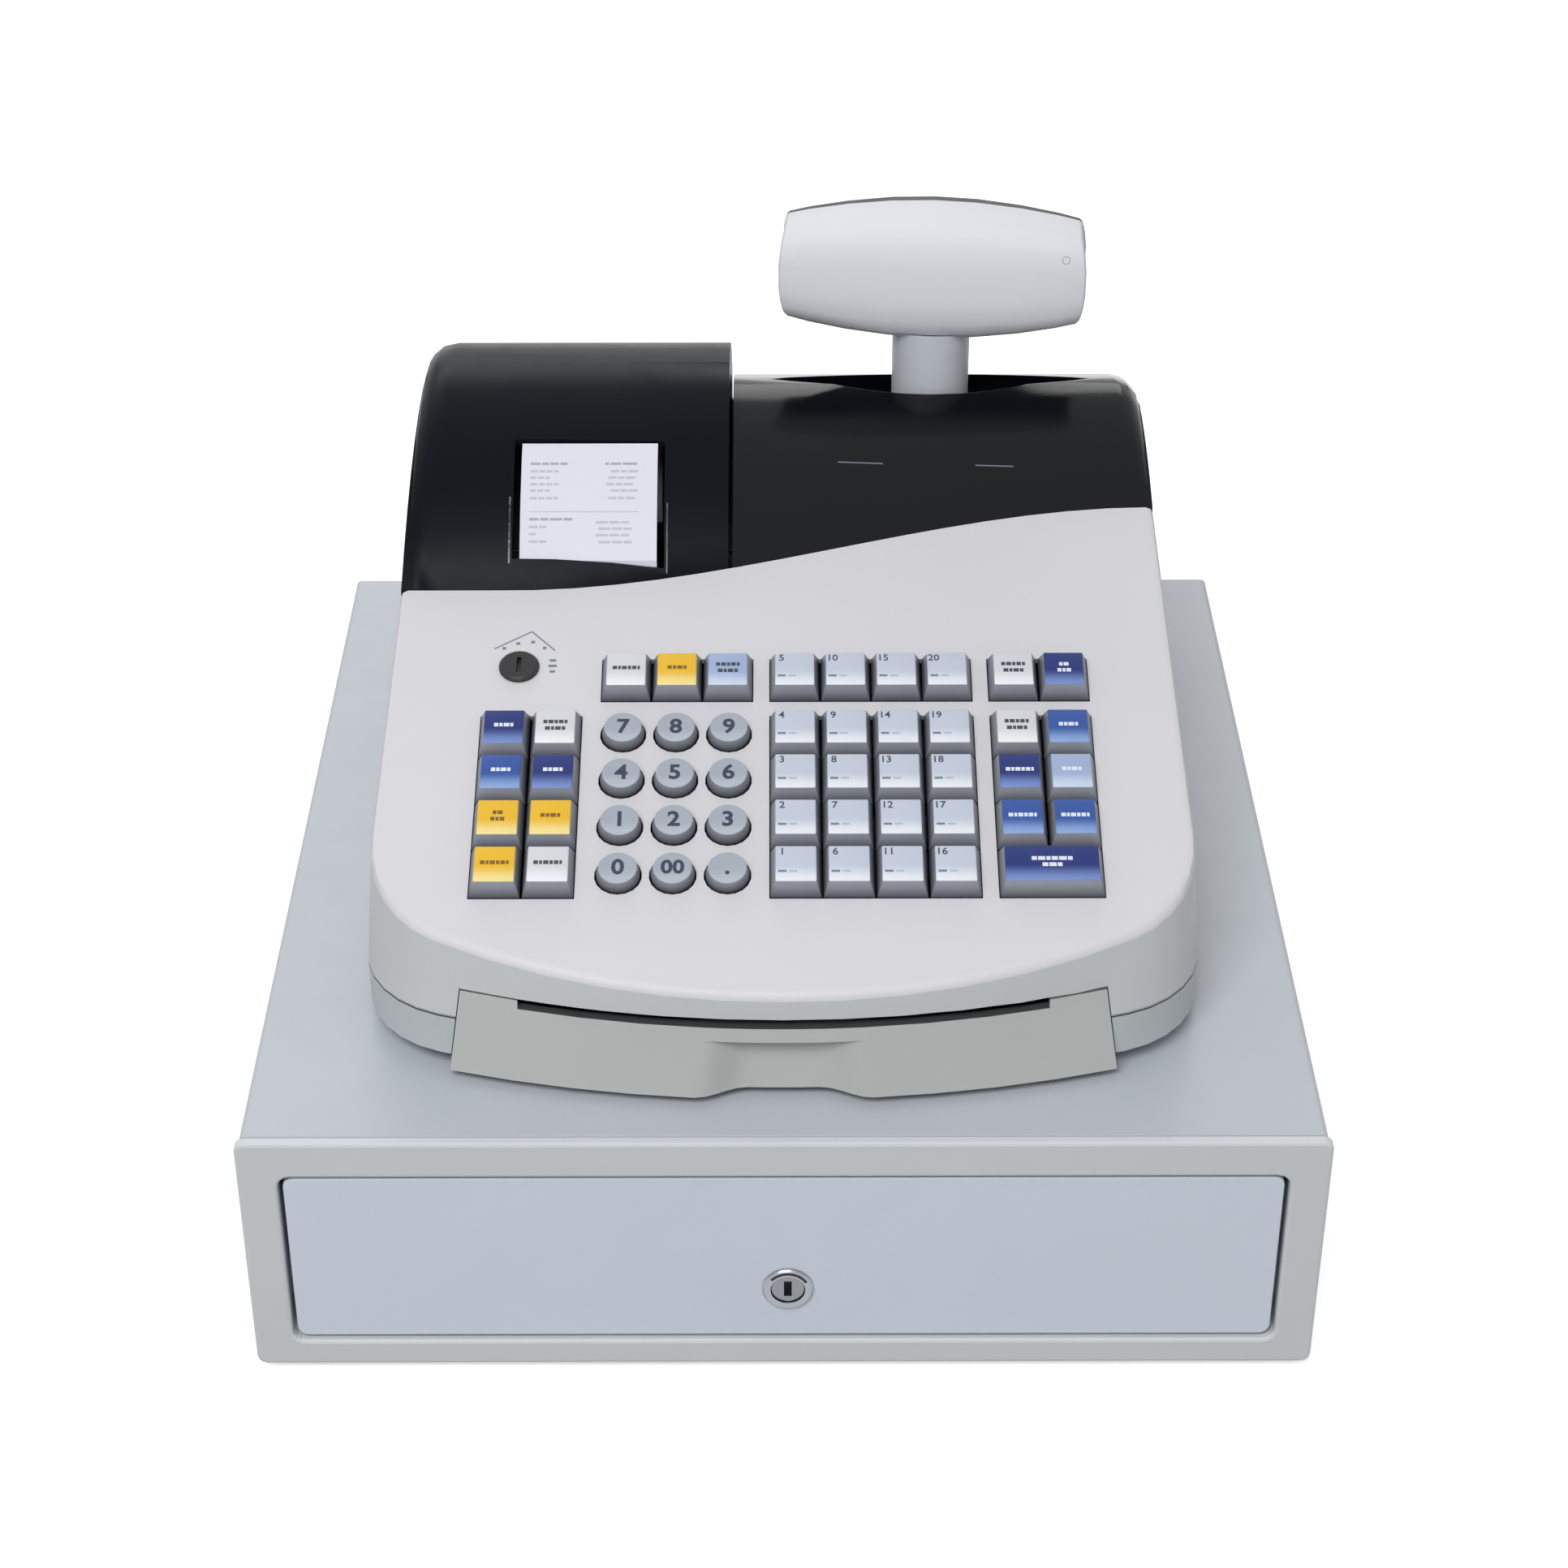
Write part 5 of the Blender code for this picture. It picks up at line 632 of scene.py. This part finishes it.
LEFT_U, RIGHT_U, MAIN_V, TOP_V = -0.1099, 0.0922, 0.0568, 0.1561
LEFT_CAPS = [
    [(cap_yellow, print_brown, ONE_WORD), (cap_white, print_dark, ONE_WORD)],
    [(cap_yellow, print_brown, SHORT_PAIR), (cap_yellow, print_brown, PAIR)],
    [(cap_blue, print_pale, PAIR), (cap_navy, print_pale, PAIR)],
    [(cap_navy, print_pale, PAIR), (cap_white, print_dark, TWO_WORDS)],
]
RIGHT_CAPS = [
    [(cap_blue, print_pale, ONE_WORD), (cap_blue, print_pale, ONE_WORD)],
    [(cap_navy, print_pale, ONE_WORD), (cap_sky, print_pale, PAIR)],
    [(cap_white, print_dark, TWO_WORDS), (cap_blue, print_pale, PAIR)],
]
for side, first_u, first_row, rows in (("left", LEFT_U, 1, LEFT_CAPS), ("right", RIGHT_U, 2, RIGHT_CAPS)):
    for row, caps in enumerate(rows, first_row):
        for column, (cap, legend, words) in enumerate(caps, 1):
            node = f"key_{side}_{row}_{column}"
            key = key_with_print(square_key, f"cap_{side}_{row}_{column}", cap, word_print(words, legend))
            on_deck(key, first_u + (column - 1) * KEY_PITCH, MAIN_V + (row - 1) * KEY_ROW_PITCH)
            settle(key, node, [node])
WIDE_WORDS = [
    (0.0026, (0.0020, 0.0028, 0.0016, 0.0024, 0.0030, 0.0018)),
    (-0.0004, (0.0022, 0.0028, 0.0018)),
]
wide = key_with_print(wide_key, "cap_right_wide", cap_navy, word_print(WIDE_WORDS, print_pale))
on_deck(wide, RIGHT_U + KEY_PITCH / 2, MAIN_V)
settle(wide, "key_right_wide", ["key_right_wide"])


# Keyboard plate and its fixed keys
# The plate hangs under the deck from five bosses, and the numbered department keys stand on it.

DEPARTMENT_U, TOP_BLOCK_U = 0.0048, -0.0625
NUMBER_SIZE, NUMBER_LEFT, NUMBER_BACK = 0.0046, -0.0052, 0.0060
BAR_V, BAR_WIDTH, BAR_HEIGHT = -0.0034, 0.0032, 0.0010
SECOND_BAR_U, SECOND_BAR_WIDTH, SECOND_BAR_HEIGHT = -0.0010, 0.0030, 0.0008
PLATE_TOP = -0.0080
plate = shell_of("keyboard_plate", "keyboard_board")
plate_up = DECK.to_3x3() @ Vector((0, 0, 1))
plate_top = DECK @ Vector((0, 0, PLATE_TOP))
choose(plate)
bpy.ops.object.mode_set(mode="EDIT")
bpy.ops.mesh.select_all(action="SELECT")
bpy.ops.mesh.bisect(plane_co=plate_top, plane_no=plate_up, use_fill=True, clear_outer=True)
bpy.ops.object.mode_set(mode="OBJECT")
plate_dark = finish("plate_dark", ink(44, 47, 54), 0.6, (900, 0.00003), 0.06)
settle(plate, housing, ["keyboard_plate"], [plate_dark])

fixed = []
for column in range(4):
    for row in range(5):
        number = str(column * 5 + row + 1)
        v = TOP_V if row == 4 else MAIN_V + row * KEY_ROW_PITCH
        prints = [
            number_print(number, NUMBER_SIZE, NUMBER_LEFT, NUMBER_BACK, CAP_TOP, print_dark),
            bar_print(NUMBER_LEFT, BAR_V, BAR_WIDTH, BAR_HEIGHT, CAP_TOP, print_grey),
            bar_print(SECOND_BAR_U, BAR_V, SECOND_BAR_WIDTH, SECOND_BAR_HEIGHT, CAP_TOP, print_faint),
        ]
        key = key_with_print(square_key, f"department_{number}", cap_pale, prints)
        on_deck(key, DEPARTMENT_U + column * KEY_PITCH, v)
        fixed.append(key)
department_keys = joined("department_keys", fixed)
settle(department_keys, housing)

fixed = []
UPPER_CAPS = [
    (TOP_BLOCK_U, cap_white, print_dark, ONE_WORD),
    (TOP_BLOCK_U + KEY_PITCH, cap_yellow, print_brown, PAIR),
    (TOP_BLOCK_U + 2 * KEY_PITCH, cap_sky, print_dark, TWO_WORDS),
    (RIGHT_U, cap_white, print_dark, TWO_WORDS),
    (RIGHT_U + KEY_PITCH, cap_navy, print_pale, SHORT_PAIR),
]
for number, (u, cap, legend, words) in enumerate(UPPER_CAPS, 1):
    key = key_with_print(square_key, f"upper_{number}", cap, word_print(words, legend))
    on_deck(key, u, TOP_V)
    fixed.append(key)
upper_keys = joined("upper_function_keys", fixed)
settle(upper_keys, housing)


# Number keys
# Round dished caps in blue-grey, paler at the front as a painted highlight, on a darker skirt with
# painted shade towards its foot, and with large dark numbers.

NUMBER_U, NUMBER_V, ROUND_PITCH_U, ROUND_PITCH_V = -0.0631, 0.0566, 0.0209, 0.0236
ROUND_RADIUS, ROUND_TOP, ROUND_SKIRT_TOP, ROUND_EDGE = 0.0084, 0.0050, 0.0006, 0.0003
DISC_SHARE, DISH_RIM, DISH_WALL, DISH = 0.88, 0.0006, 0.0020, 0.0005

deselect_all()
skirt_depth = ROUND_SKIRT_TOP - SKIRT_LOW
bpy.ops.mesh.primitive_cylinder_add(
    vertices=48, radius=ROUND_RADIUS, depth=skirt_depth, location=(0, 0, SKIRT_LOW + skirt_depth / 2)
)
round_key = bpy.context.object
round_key.name = "round_key"
bpy.ops.object.transform_apply(location=True, rotation=True, scale=True)
bpy.ops.object.mode_set(mode="EDIT")
select_faces(round_key, top_face)
bpy.ops.mesh.extrude_region_move(TRANSFORM_OT_translate={"value": (0, 0, ROUND_TOP - ROUND_SKIRT_TOP)})
bpy.ops.transform.resize(value=(DISC_SHARE, DISC_SHARE, 1), center_override=(0, 0, ROUND_TOP))
bpy.ops.mesh.inset(thickness=DISH_RIM)
bpy.ops.mesh.inset(thickness=DISH_WALL)
bpy.ops.transform.translate(value=(0, 0, -DISH))
add_stem(round_key, (ROUND_RADIUS, ROUND_RADIUS))
bpy.ops.object.mode_set(mode="OBJECT")
eased(round_key, ROUND_EDGE)
for material in (key_skirt_shaded, cap_number):
    round_key.data.materials.append(material)
for face in round_key.data.polygons:
    face.material_index = 1 if face.center.z > ROUND_TOP - DISH - CAP_EDGE else 0
shade_places(round_key, ROUND_RADIUS)

DIGIT_SIZE, PAIR_SIZE, DIGIT_V, DIGIT_BOLD = 0.0100, 0.0090, 0.0004, 0.00028
NUMBER_ROWS = [["0", "00", "point"], ["1", "2", "3"], ["4", "5", "6"], ["7", "8", "9"]]
for row, names in enumerate(NUMBER_ROWS):
    for column, number in enumerate(names):
        body = "." if number == "point" else number
        size = PAIR_SIZE if len(body) == 2 else DIGIT_SIZE
        legend = number_print(body, size, 0, DIGIT_V, ROUND_TOP - DISH, print_navy, DIGIT_BOLD)
        key = key_with_print(round_key, f"cap_number_{number}", cap_number, [legend])
        on_deck(key, NUMBER_U + column * ROUND_PITCH_U, NUMBER_V + row * ROUND_PITCH_V)
        settle(key, f"key_number_{number}", [f"key_number_{number}"])
for master in (square_key, wide_key, round_key):
    bpy.data.objects.remove(master)


# Key switch
# A round black plug with a key slot, and fine printed marks on the deck for its positions.

switch_black = finish("switch_black", ink(26, 26, 27), 0.35, (1200, 0.00002))
switch_shell = shell_of("mode_switch", "switch_plug", 40, 0.0002)
settle(switch_shell, "mode_switch", ["mode_switch"], [switch_black])

SWITCH_U, SWITCH_V = -0.1060, 0.1631
ROOF = [(-0.0105, 0.0103), (0.0043, 0.0197), (0.0140, 0.0094)]
ROOF_LINE, UPPER_MARK_HEIGHT, SIDE_MARK_HEIGHT = 0.0006, 0.0014, 0.0012
UPPER_MARKS = [
    (-0.0065, 0.0106, 0.0014),
    (-0.0010, 0.0132, 0.0016),
    (0.0050, 0.0140, 0.0016),
    (0.0098, 0.0108, 0.0014),
]
SIDE_MARK_U = 0.0134
SIDE_MARKS = [(0.0040, 0.0026), (0.0010, 0.0034), (-0.0020, 0.0022)]
marks = []
for (u0, v0), (u1, v1) in zip(ROOF, ROOF[1:]):
    length = sqrt((u1 - u0) ** 2 + (v1 - v0) ** 2)
    mark = bar_print(0, 0, length, ROOF_LINE, 0, print_grey)
    slant = Matrix.Rotation(asin((v1 - v0) / length), 4, "Z")
    mark.data.transform(Matrix.Translation(((u0 + u1) / 2, (v0 + v1) / 2, 0)) @ slant)
    marks.append(mark)
for u, v, width in UPPER_MARKS:
    marks.append(bar_print(u, v, width, UPPER_MARK_HEIGHT, 0, print_grey))
for v, width in SIDE_MARKS:
    marks.append(bar_print(SIDE_MARK_U, v, width, SIDE_MARK_HEIGHT, 0, print_grey))
switch_marks = joined("switch_marks", marks)
on_deck(switch_marks, SWITCH_U, SWITCH_V)
settle(switch_marks, housing)


# Printer cover
# A smoked black hood hinged at the back, with an open window over the receipt.
# Thin pale strips down both sides of the window's lower half are painted highlights on the window's side
# edges.

hood_black = finish("hood_black", ink(14, 17, 24), 0.34, (1500, 0.00001), 0.05, shine=0.06)
hood_shell = shell_of("printer_cover", "hood_shell", 46, 0.0004)
settle(hood_shell, "printer_cover", ["printer_cover"], [hood_black])

# Painted highlight: short pale strips laid along the window's side edges.
painted_highlight = finish("painted_highlight", ink(92, 95, 104), 0.35)
HIGHLIGHT_RUNS = [(-0.1125, 0.00035), (-0.0476, 0.00025)]
HIGHLIGHT_STEPS, HIGHLIGHT_NEAR_Y, HIGHLIGHT_FAR_Y = 12, 0.0225, 0.0400
HIGHLIGHT_HALF_LENGTH, HIGHLIGHT_SUNK, HIGHLIGHT_PROUD = 0.0026, 0.0001, 0.00008


def laid(piece, base, x, y):
    """Lays a flat piece on what lies below a place, along its slope."""
    _, place, normal, _ = base.ray_cast((x, y, 1), (0, 0, -1))
    lean = Vector((0, 0, 1)).rotation_difference(normal).to_matrix().to_4x4()
    piece.data.transform(Matrix.Translation(place) @ lean)
    return piece


highlight_strips = []
for x, half in HIGHLIGHT_RUNS:
    for step in range(HIGHLIGHT_STEPS):
        y = HIGHLIGHT_NEAR_Y + (HIGHLIGHT_FAR_Y - HIGHLIGHT_NEAR_Y) * step / (HIGHLIGHT_STEPS - 1)
        highlight_strip = solid_box("highlight_strip", (-half, -HIGHLIGHT_HALF_LENGTH, -HIGHLIGHT_SUNK), (half, HIGHLIGHT_HALF_LENGTH, HIGHLIGHT_PROUD))
        highlight_strip.data.materials.append(painted_highlight)
        highlight_strips.append(laid(highlight_strip, hood_shell, x, y))
window_edge_highlights = joined("window_edge_highlights", highlight_strips)
settle(window_edge_highlights, "printer_cover")


# Printer under the cover
# Folded dark cheeks, a print head, a trough for the roll and a rubber platen.

printer_dark = finish("printer_dark", ink(48, 49, 52), 0.5, (900, 0.00004))
platen_rubber = finish("platen_rubber", ink(30, 30, 31), 0.8, (900, 0.00004))
paint("printer_frame", printer_dark)
platen_sleeve = shell_of("platen_roller", "platen_sleeve")
settle(platen_sleeve, "platen_roller", ["platen_roller"], [platen_rubber])


# Receipt paper and its roll
# Thin white till paper with a faint tooth, printed with grey bars in the place of words.

paper_white = finish("paper_white", ink(226, 225, 238), 0.75, (2600, 0.00001), 0.01)
paper_print = finish("paper_print", ink(196, 195, 211), 0.8)
paper_bold = finish("paper_print_bold", ink(172, 171, 191), 0.8)
paint("receipt_paper", paper_white)
paper_reel = shell_of("paper_roll", "paper_reel")
settle(paper_reel, "paper_roll", ["paper_roll"], [paper_white])

PAPER_X, PAPER_NEAR_Y, PAPER_FAR_Y = -0.0800, 0.0226, 0.0652
LEFT_EDGE, PAPER_GAP = -0.0245, 0.0006
strip = nodes["receipt_paper"]
lines = []


def paper_words(left_edge, share, widths, material, height=0.0011):
    """A printed row: blocks that run from an edge, at a share of the way down the strip."""
    y = PAPER_FAR_Y + share * (PAPER_NEAR_Y - PAPER_FAR_Y)
    along = left_edge
    for width in widths:
        low = (-width / 2, -height / 2, PRINT_LIFT)
        bar = solid_box("bar", low, (width / 2, height / 2, PRINT_THICKNESS))
        bar.data.materials.append(material)
        lines.append(laid(bar, strip, PAPER_X + along + width / 2, y))
        along += width + PAPER_GAP


paper_words(LEFT_EDGE, 0.215, (0.0042, 0.0028, 0.0036, 0.0030), paper_bold)
paper_words(0.0065, 0.215, (0.0016, 0.0044, 0.0060), paper_bold)
for number, share in enumerate((0.285, 0.345, 0.405, 0.465, 0.530)):
    paper_words(LEFT_EDGE, share, (0.0030, 0.0026, 0.0024, 0.0020)[number % 2:], paper_print)
    paper_words(0.0090 - 0.0010 * (number % 3), share, (0.0034, 0.0026, 0.0040), paper_print)
paper_words(LEFT_EDGE, 0.640, (0.0450,), paper_print, 0.0004)
paper_words(LEFT_EDGE, 0.700, (0.0040, 0.0034, 0.0050, 0.0036), paper_bold)
for number, share in enumerate((0.725, 0.775, 0.825, 0.875)):
    paper_words(0.0030 + 0.0012 * (number % 2), share, (0.0050, 0.0042, 0.0034), paper_print)
for number, share in enumerate((0.760, 0.815, 0.870)):
    paper_words(LEFT_EDGE, share, (0.0036, 0.0030)[number % 2:], paper_print)
receipt_print = joined("receipt_print", lines)
settle(receipt_print, housing)


# Rear cover
# A gloss black cover over the display's neck, with an eye-shaped well that lets the neck turn.

cover_gloss = finish("cover_gloss", ink(8, 10, 16), 0.16, (1500, 0.00001), 0.04, shine=0.20)
cover_shell = shell_of("rear_cover", "rear_cover_shell", edge=0.0004)
settle(cover_shell, housing, ["rear_cover"], [cover_gloss])

dash_pale = finish("dash_pale", ink(112, 116, 130), 0.5)
DASHES = [(0.0235, 0.0425, 0.0700), (0.0815, 0.0975, 0.0712)]
DASH_HALF, DASH_SUNK, DASH_PROUD = 0.0003, 0.0002, 0.00006
dashes = []
for x0, x1, y in DASHES:
    half = (x1 - x0) / 2
    dash = solid_box("dash", (-half, -DASH_HALF, -DASH_SUNK), (half, DASH_HALF, DASH_PROUD))
    dash.data.materials.append(dash_pale)
    dashes.append(laid(dash, cover_shell, x0 + half, y))
cover_dashes = joined("cover_dashes", dashes)
settle(cover_dashes, housing)


# Operator display and main board
# Both are inside the case: a dark display module on two legs, and a green board with its chips.

display_dark = finish("display_dark", ink(24, 28, 30), 0.15)
board_green = finish("board_green", ink(34, 84, 52), 0.4, (500, 0.00003), 0.12)
paint("operator_display", display_dark)
paint("main_board", board_green)


# Display neck
# A turned light grey tube that slides and turns in the rear cover.

neck_grey = finish("neck_grey", ink(200, 206, 213), 0.42, (1500, 0.00003))
neck_shell = shell_of("display_neck", "neck_tube", 40, 0.0003)
settle(neck_shell, "display_neck", ["display_neck"], [neck_grey])


# Customer display
# A pillow-shaped pod of two mouldings that meet in a dark seam, with a dark filter at its back.

pod_white = finish("pod_white", ink(230, 231, 237), 0.60, (1500, 0.00003), 0.015, shine=0.10)
pod_dark = finish("pod_dark", ink(48, 50, 56), 0.45, (1500, 0.00003), shine=0.20)
pod_shell = shell_of("customer_display", "pod_shell", 50)
settle(pod_shell, "customer_display", ["customer_display"], [pod_white, pod_dark])

POD_MIDDLE, POD_YAW, POD_PARTING = (0.0643, 0.1290, 0.3125), radians(-4), 0.0050
POD_TURN = Matrix.Translation(POD_MIDDLE) @ Matrix.Rotation(POD_YAW, 4, "Z")
across = POD_TURN.to_3x3() @ Vector((0, 1, 0))
scored(pod_shell, POD_TURN @ Vector((0, POD_PARTING, 0)), across)
for face in pod_shell.data.polygons:
    face.material_index = 1 if (POD_TURN.inverted() @ face.center).y > POD_PARTING else 0

RING_U, RING_W, RING_RADIUS, RING_WIRE = 0.0560, 0.0120, 0.0016, 0.0002
deselect_all()
bpy.ops.mesh.primitive_torus_add(
    major_segments=32, minor_segments=8, major_radius=RING_RADIUS, minor_radius=RING_WIRE
)
ring = bpy.context.object
ring.name = "pod_ring"
start = POD_TURN @ Vector((RING_U, -0.1, RING_W))
_, place, normal, _ = pod_shell.ray_cast(start, across)
lean = Vector((0, 0, 1)).rotation_difference(normal).to_matrix().to_4x4()
ring.data.transform(Matrix.Translation(place) @ lean)
ring_grey = finish("ring_grey", ink(180, 182, 190), 0.5)
settle(ring, "customer_display", materials=[ring_grey])

filter_glass = finish("filter_glass", ink(18, 30, 30), 0.06, (40, 0.00001), coat=0.8)
paint("display_window", filter_glass)


# Floor, backdrop and light
# A plain pale floor under a pale sky, with one large soft lamp in front and one behind.
# What a camera or a reflection sees of them is lighter than the light that they give.

def seen_rays(tree):
    """One where a camera, glossy or transmission ray looks, and nought for the light itself."""
    ray = tree.nodes.new("ShaderNodeLightPath")
    found = ray.outputs["Is Camera Ray"]
    for kind in ("Is Glossy Ray", "Is Transmission Ray"):
        both = tree.nodes.new("ShaderNodeMath")
        both.operation = "MAXIMUM"
        tree.links.new(found, both.inputs[0])
        tree.links.new(ray.outputs[kind], both.inputs[1])
        found = both.outputs[0]
    return found


FLOOR_SIZE, FLOOR_DROP, FLOOR_LIFT, WORLD_LIGHT = 80, 0.0002, 0.50, 0.40
FLOOR_LIT, FLOOR_SEEN = ink(130, 130, 130), ink(250, 250, 250)
deselect_all()
bpy.ops.mesh.primitive_plane_add(size=FLOOR_SIZE, location=(0, 0, -FLOOR_DROP))
floor = bpy.context.object
floor.name = "floor"
floor_pale = finish("floor_pale", FLOOR_SEEN, 0.9, (400, 0.00002), 0.004)
floor_tree = floor_pale.node_tree
floor_shader = floor_tree.nodes["Principled BSDF"]
plain = mixed(floor_tree, seen_rays(floor_tree), FLOOR_LIT, FLOOR_SEEN)
floor_tree.links.new(plain, floor_shader.inputs["Base Color"])
glow = floor_tree.nodes.new("ShaderNodeEmission")
lift = between(floor_tree, seen_rays(floor_tree), 0.0, FLOOR_LIFT)
floor_tree.links.new(lift, glow.inputs["Strength"])
both = floor_tree.nodes.new("ShaderNodeAddShader")
floor_tree.links.new(floor_shader.outputs["BSDF"], both.inputs[0])
floor_tree.links.new(glow.outputs["Emission"], both.inputs[1])
floor_tree.links.new(both.outputs["Shader"], floor_tree.nodes["Material Output"].inputs["Surface"])
floor.data.materials.append(floor_pale)

world = bpy.data.worlds.new("studio")
bpy.context.scene.world = world
world.use_nodes = True
sky = world.node_tree.nodes["Background"]
sky.inputs["Color"].default_value = (1, 1, 1, 1)
strength = between(world.node_tree, seen_rays(world.node_tree), WORLD_LIGHT, 1.0)
world.node_tree.links.new(strength, sky.inputs["Strength"])


LAMP_TARGET = (0, 0, 0.15)


def soft_lamp(name, place, size, power):
    """A large lamp that looks at the middle of the register."""
    data = bpy.data.lights.new(name, "AREA")
    data.shape = "RECTANGLE"
    data.size, data.size_y = size
    data.energy = power
    lamp = bpy.data.objects.new(name, data)
    lamp.location = place
    aim = Vector(LAMP_TARGET) - Vector(place)
    lamp.rotation_euler = aim.to_track_quat("-Z", "Y").to_euler()
    bpy.context.scene.collection.objects.link(lamp)


soft_lamp("front_key", place=(-0.5, -1.8, 2.3), size=(1.6, 1.0), power=49)
soft_lamp("back_rim", place=(-0.3, 2.3, 1.6), size=(2.4, 1.0), power=16)

bpy.context.scene.view_settings.view_transform = "Standard"
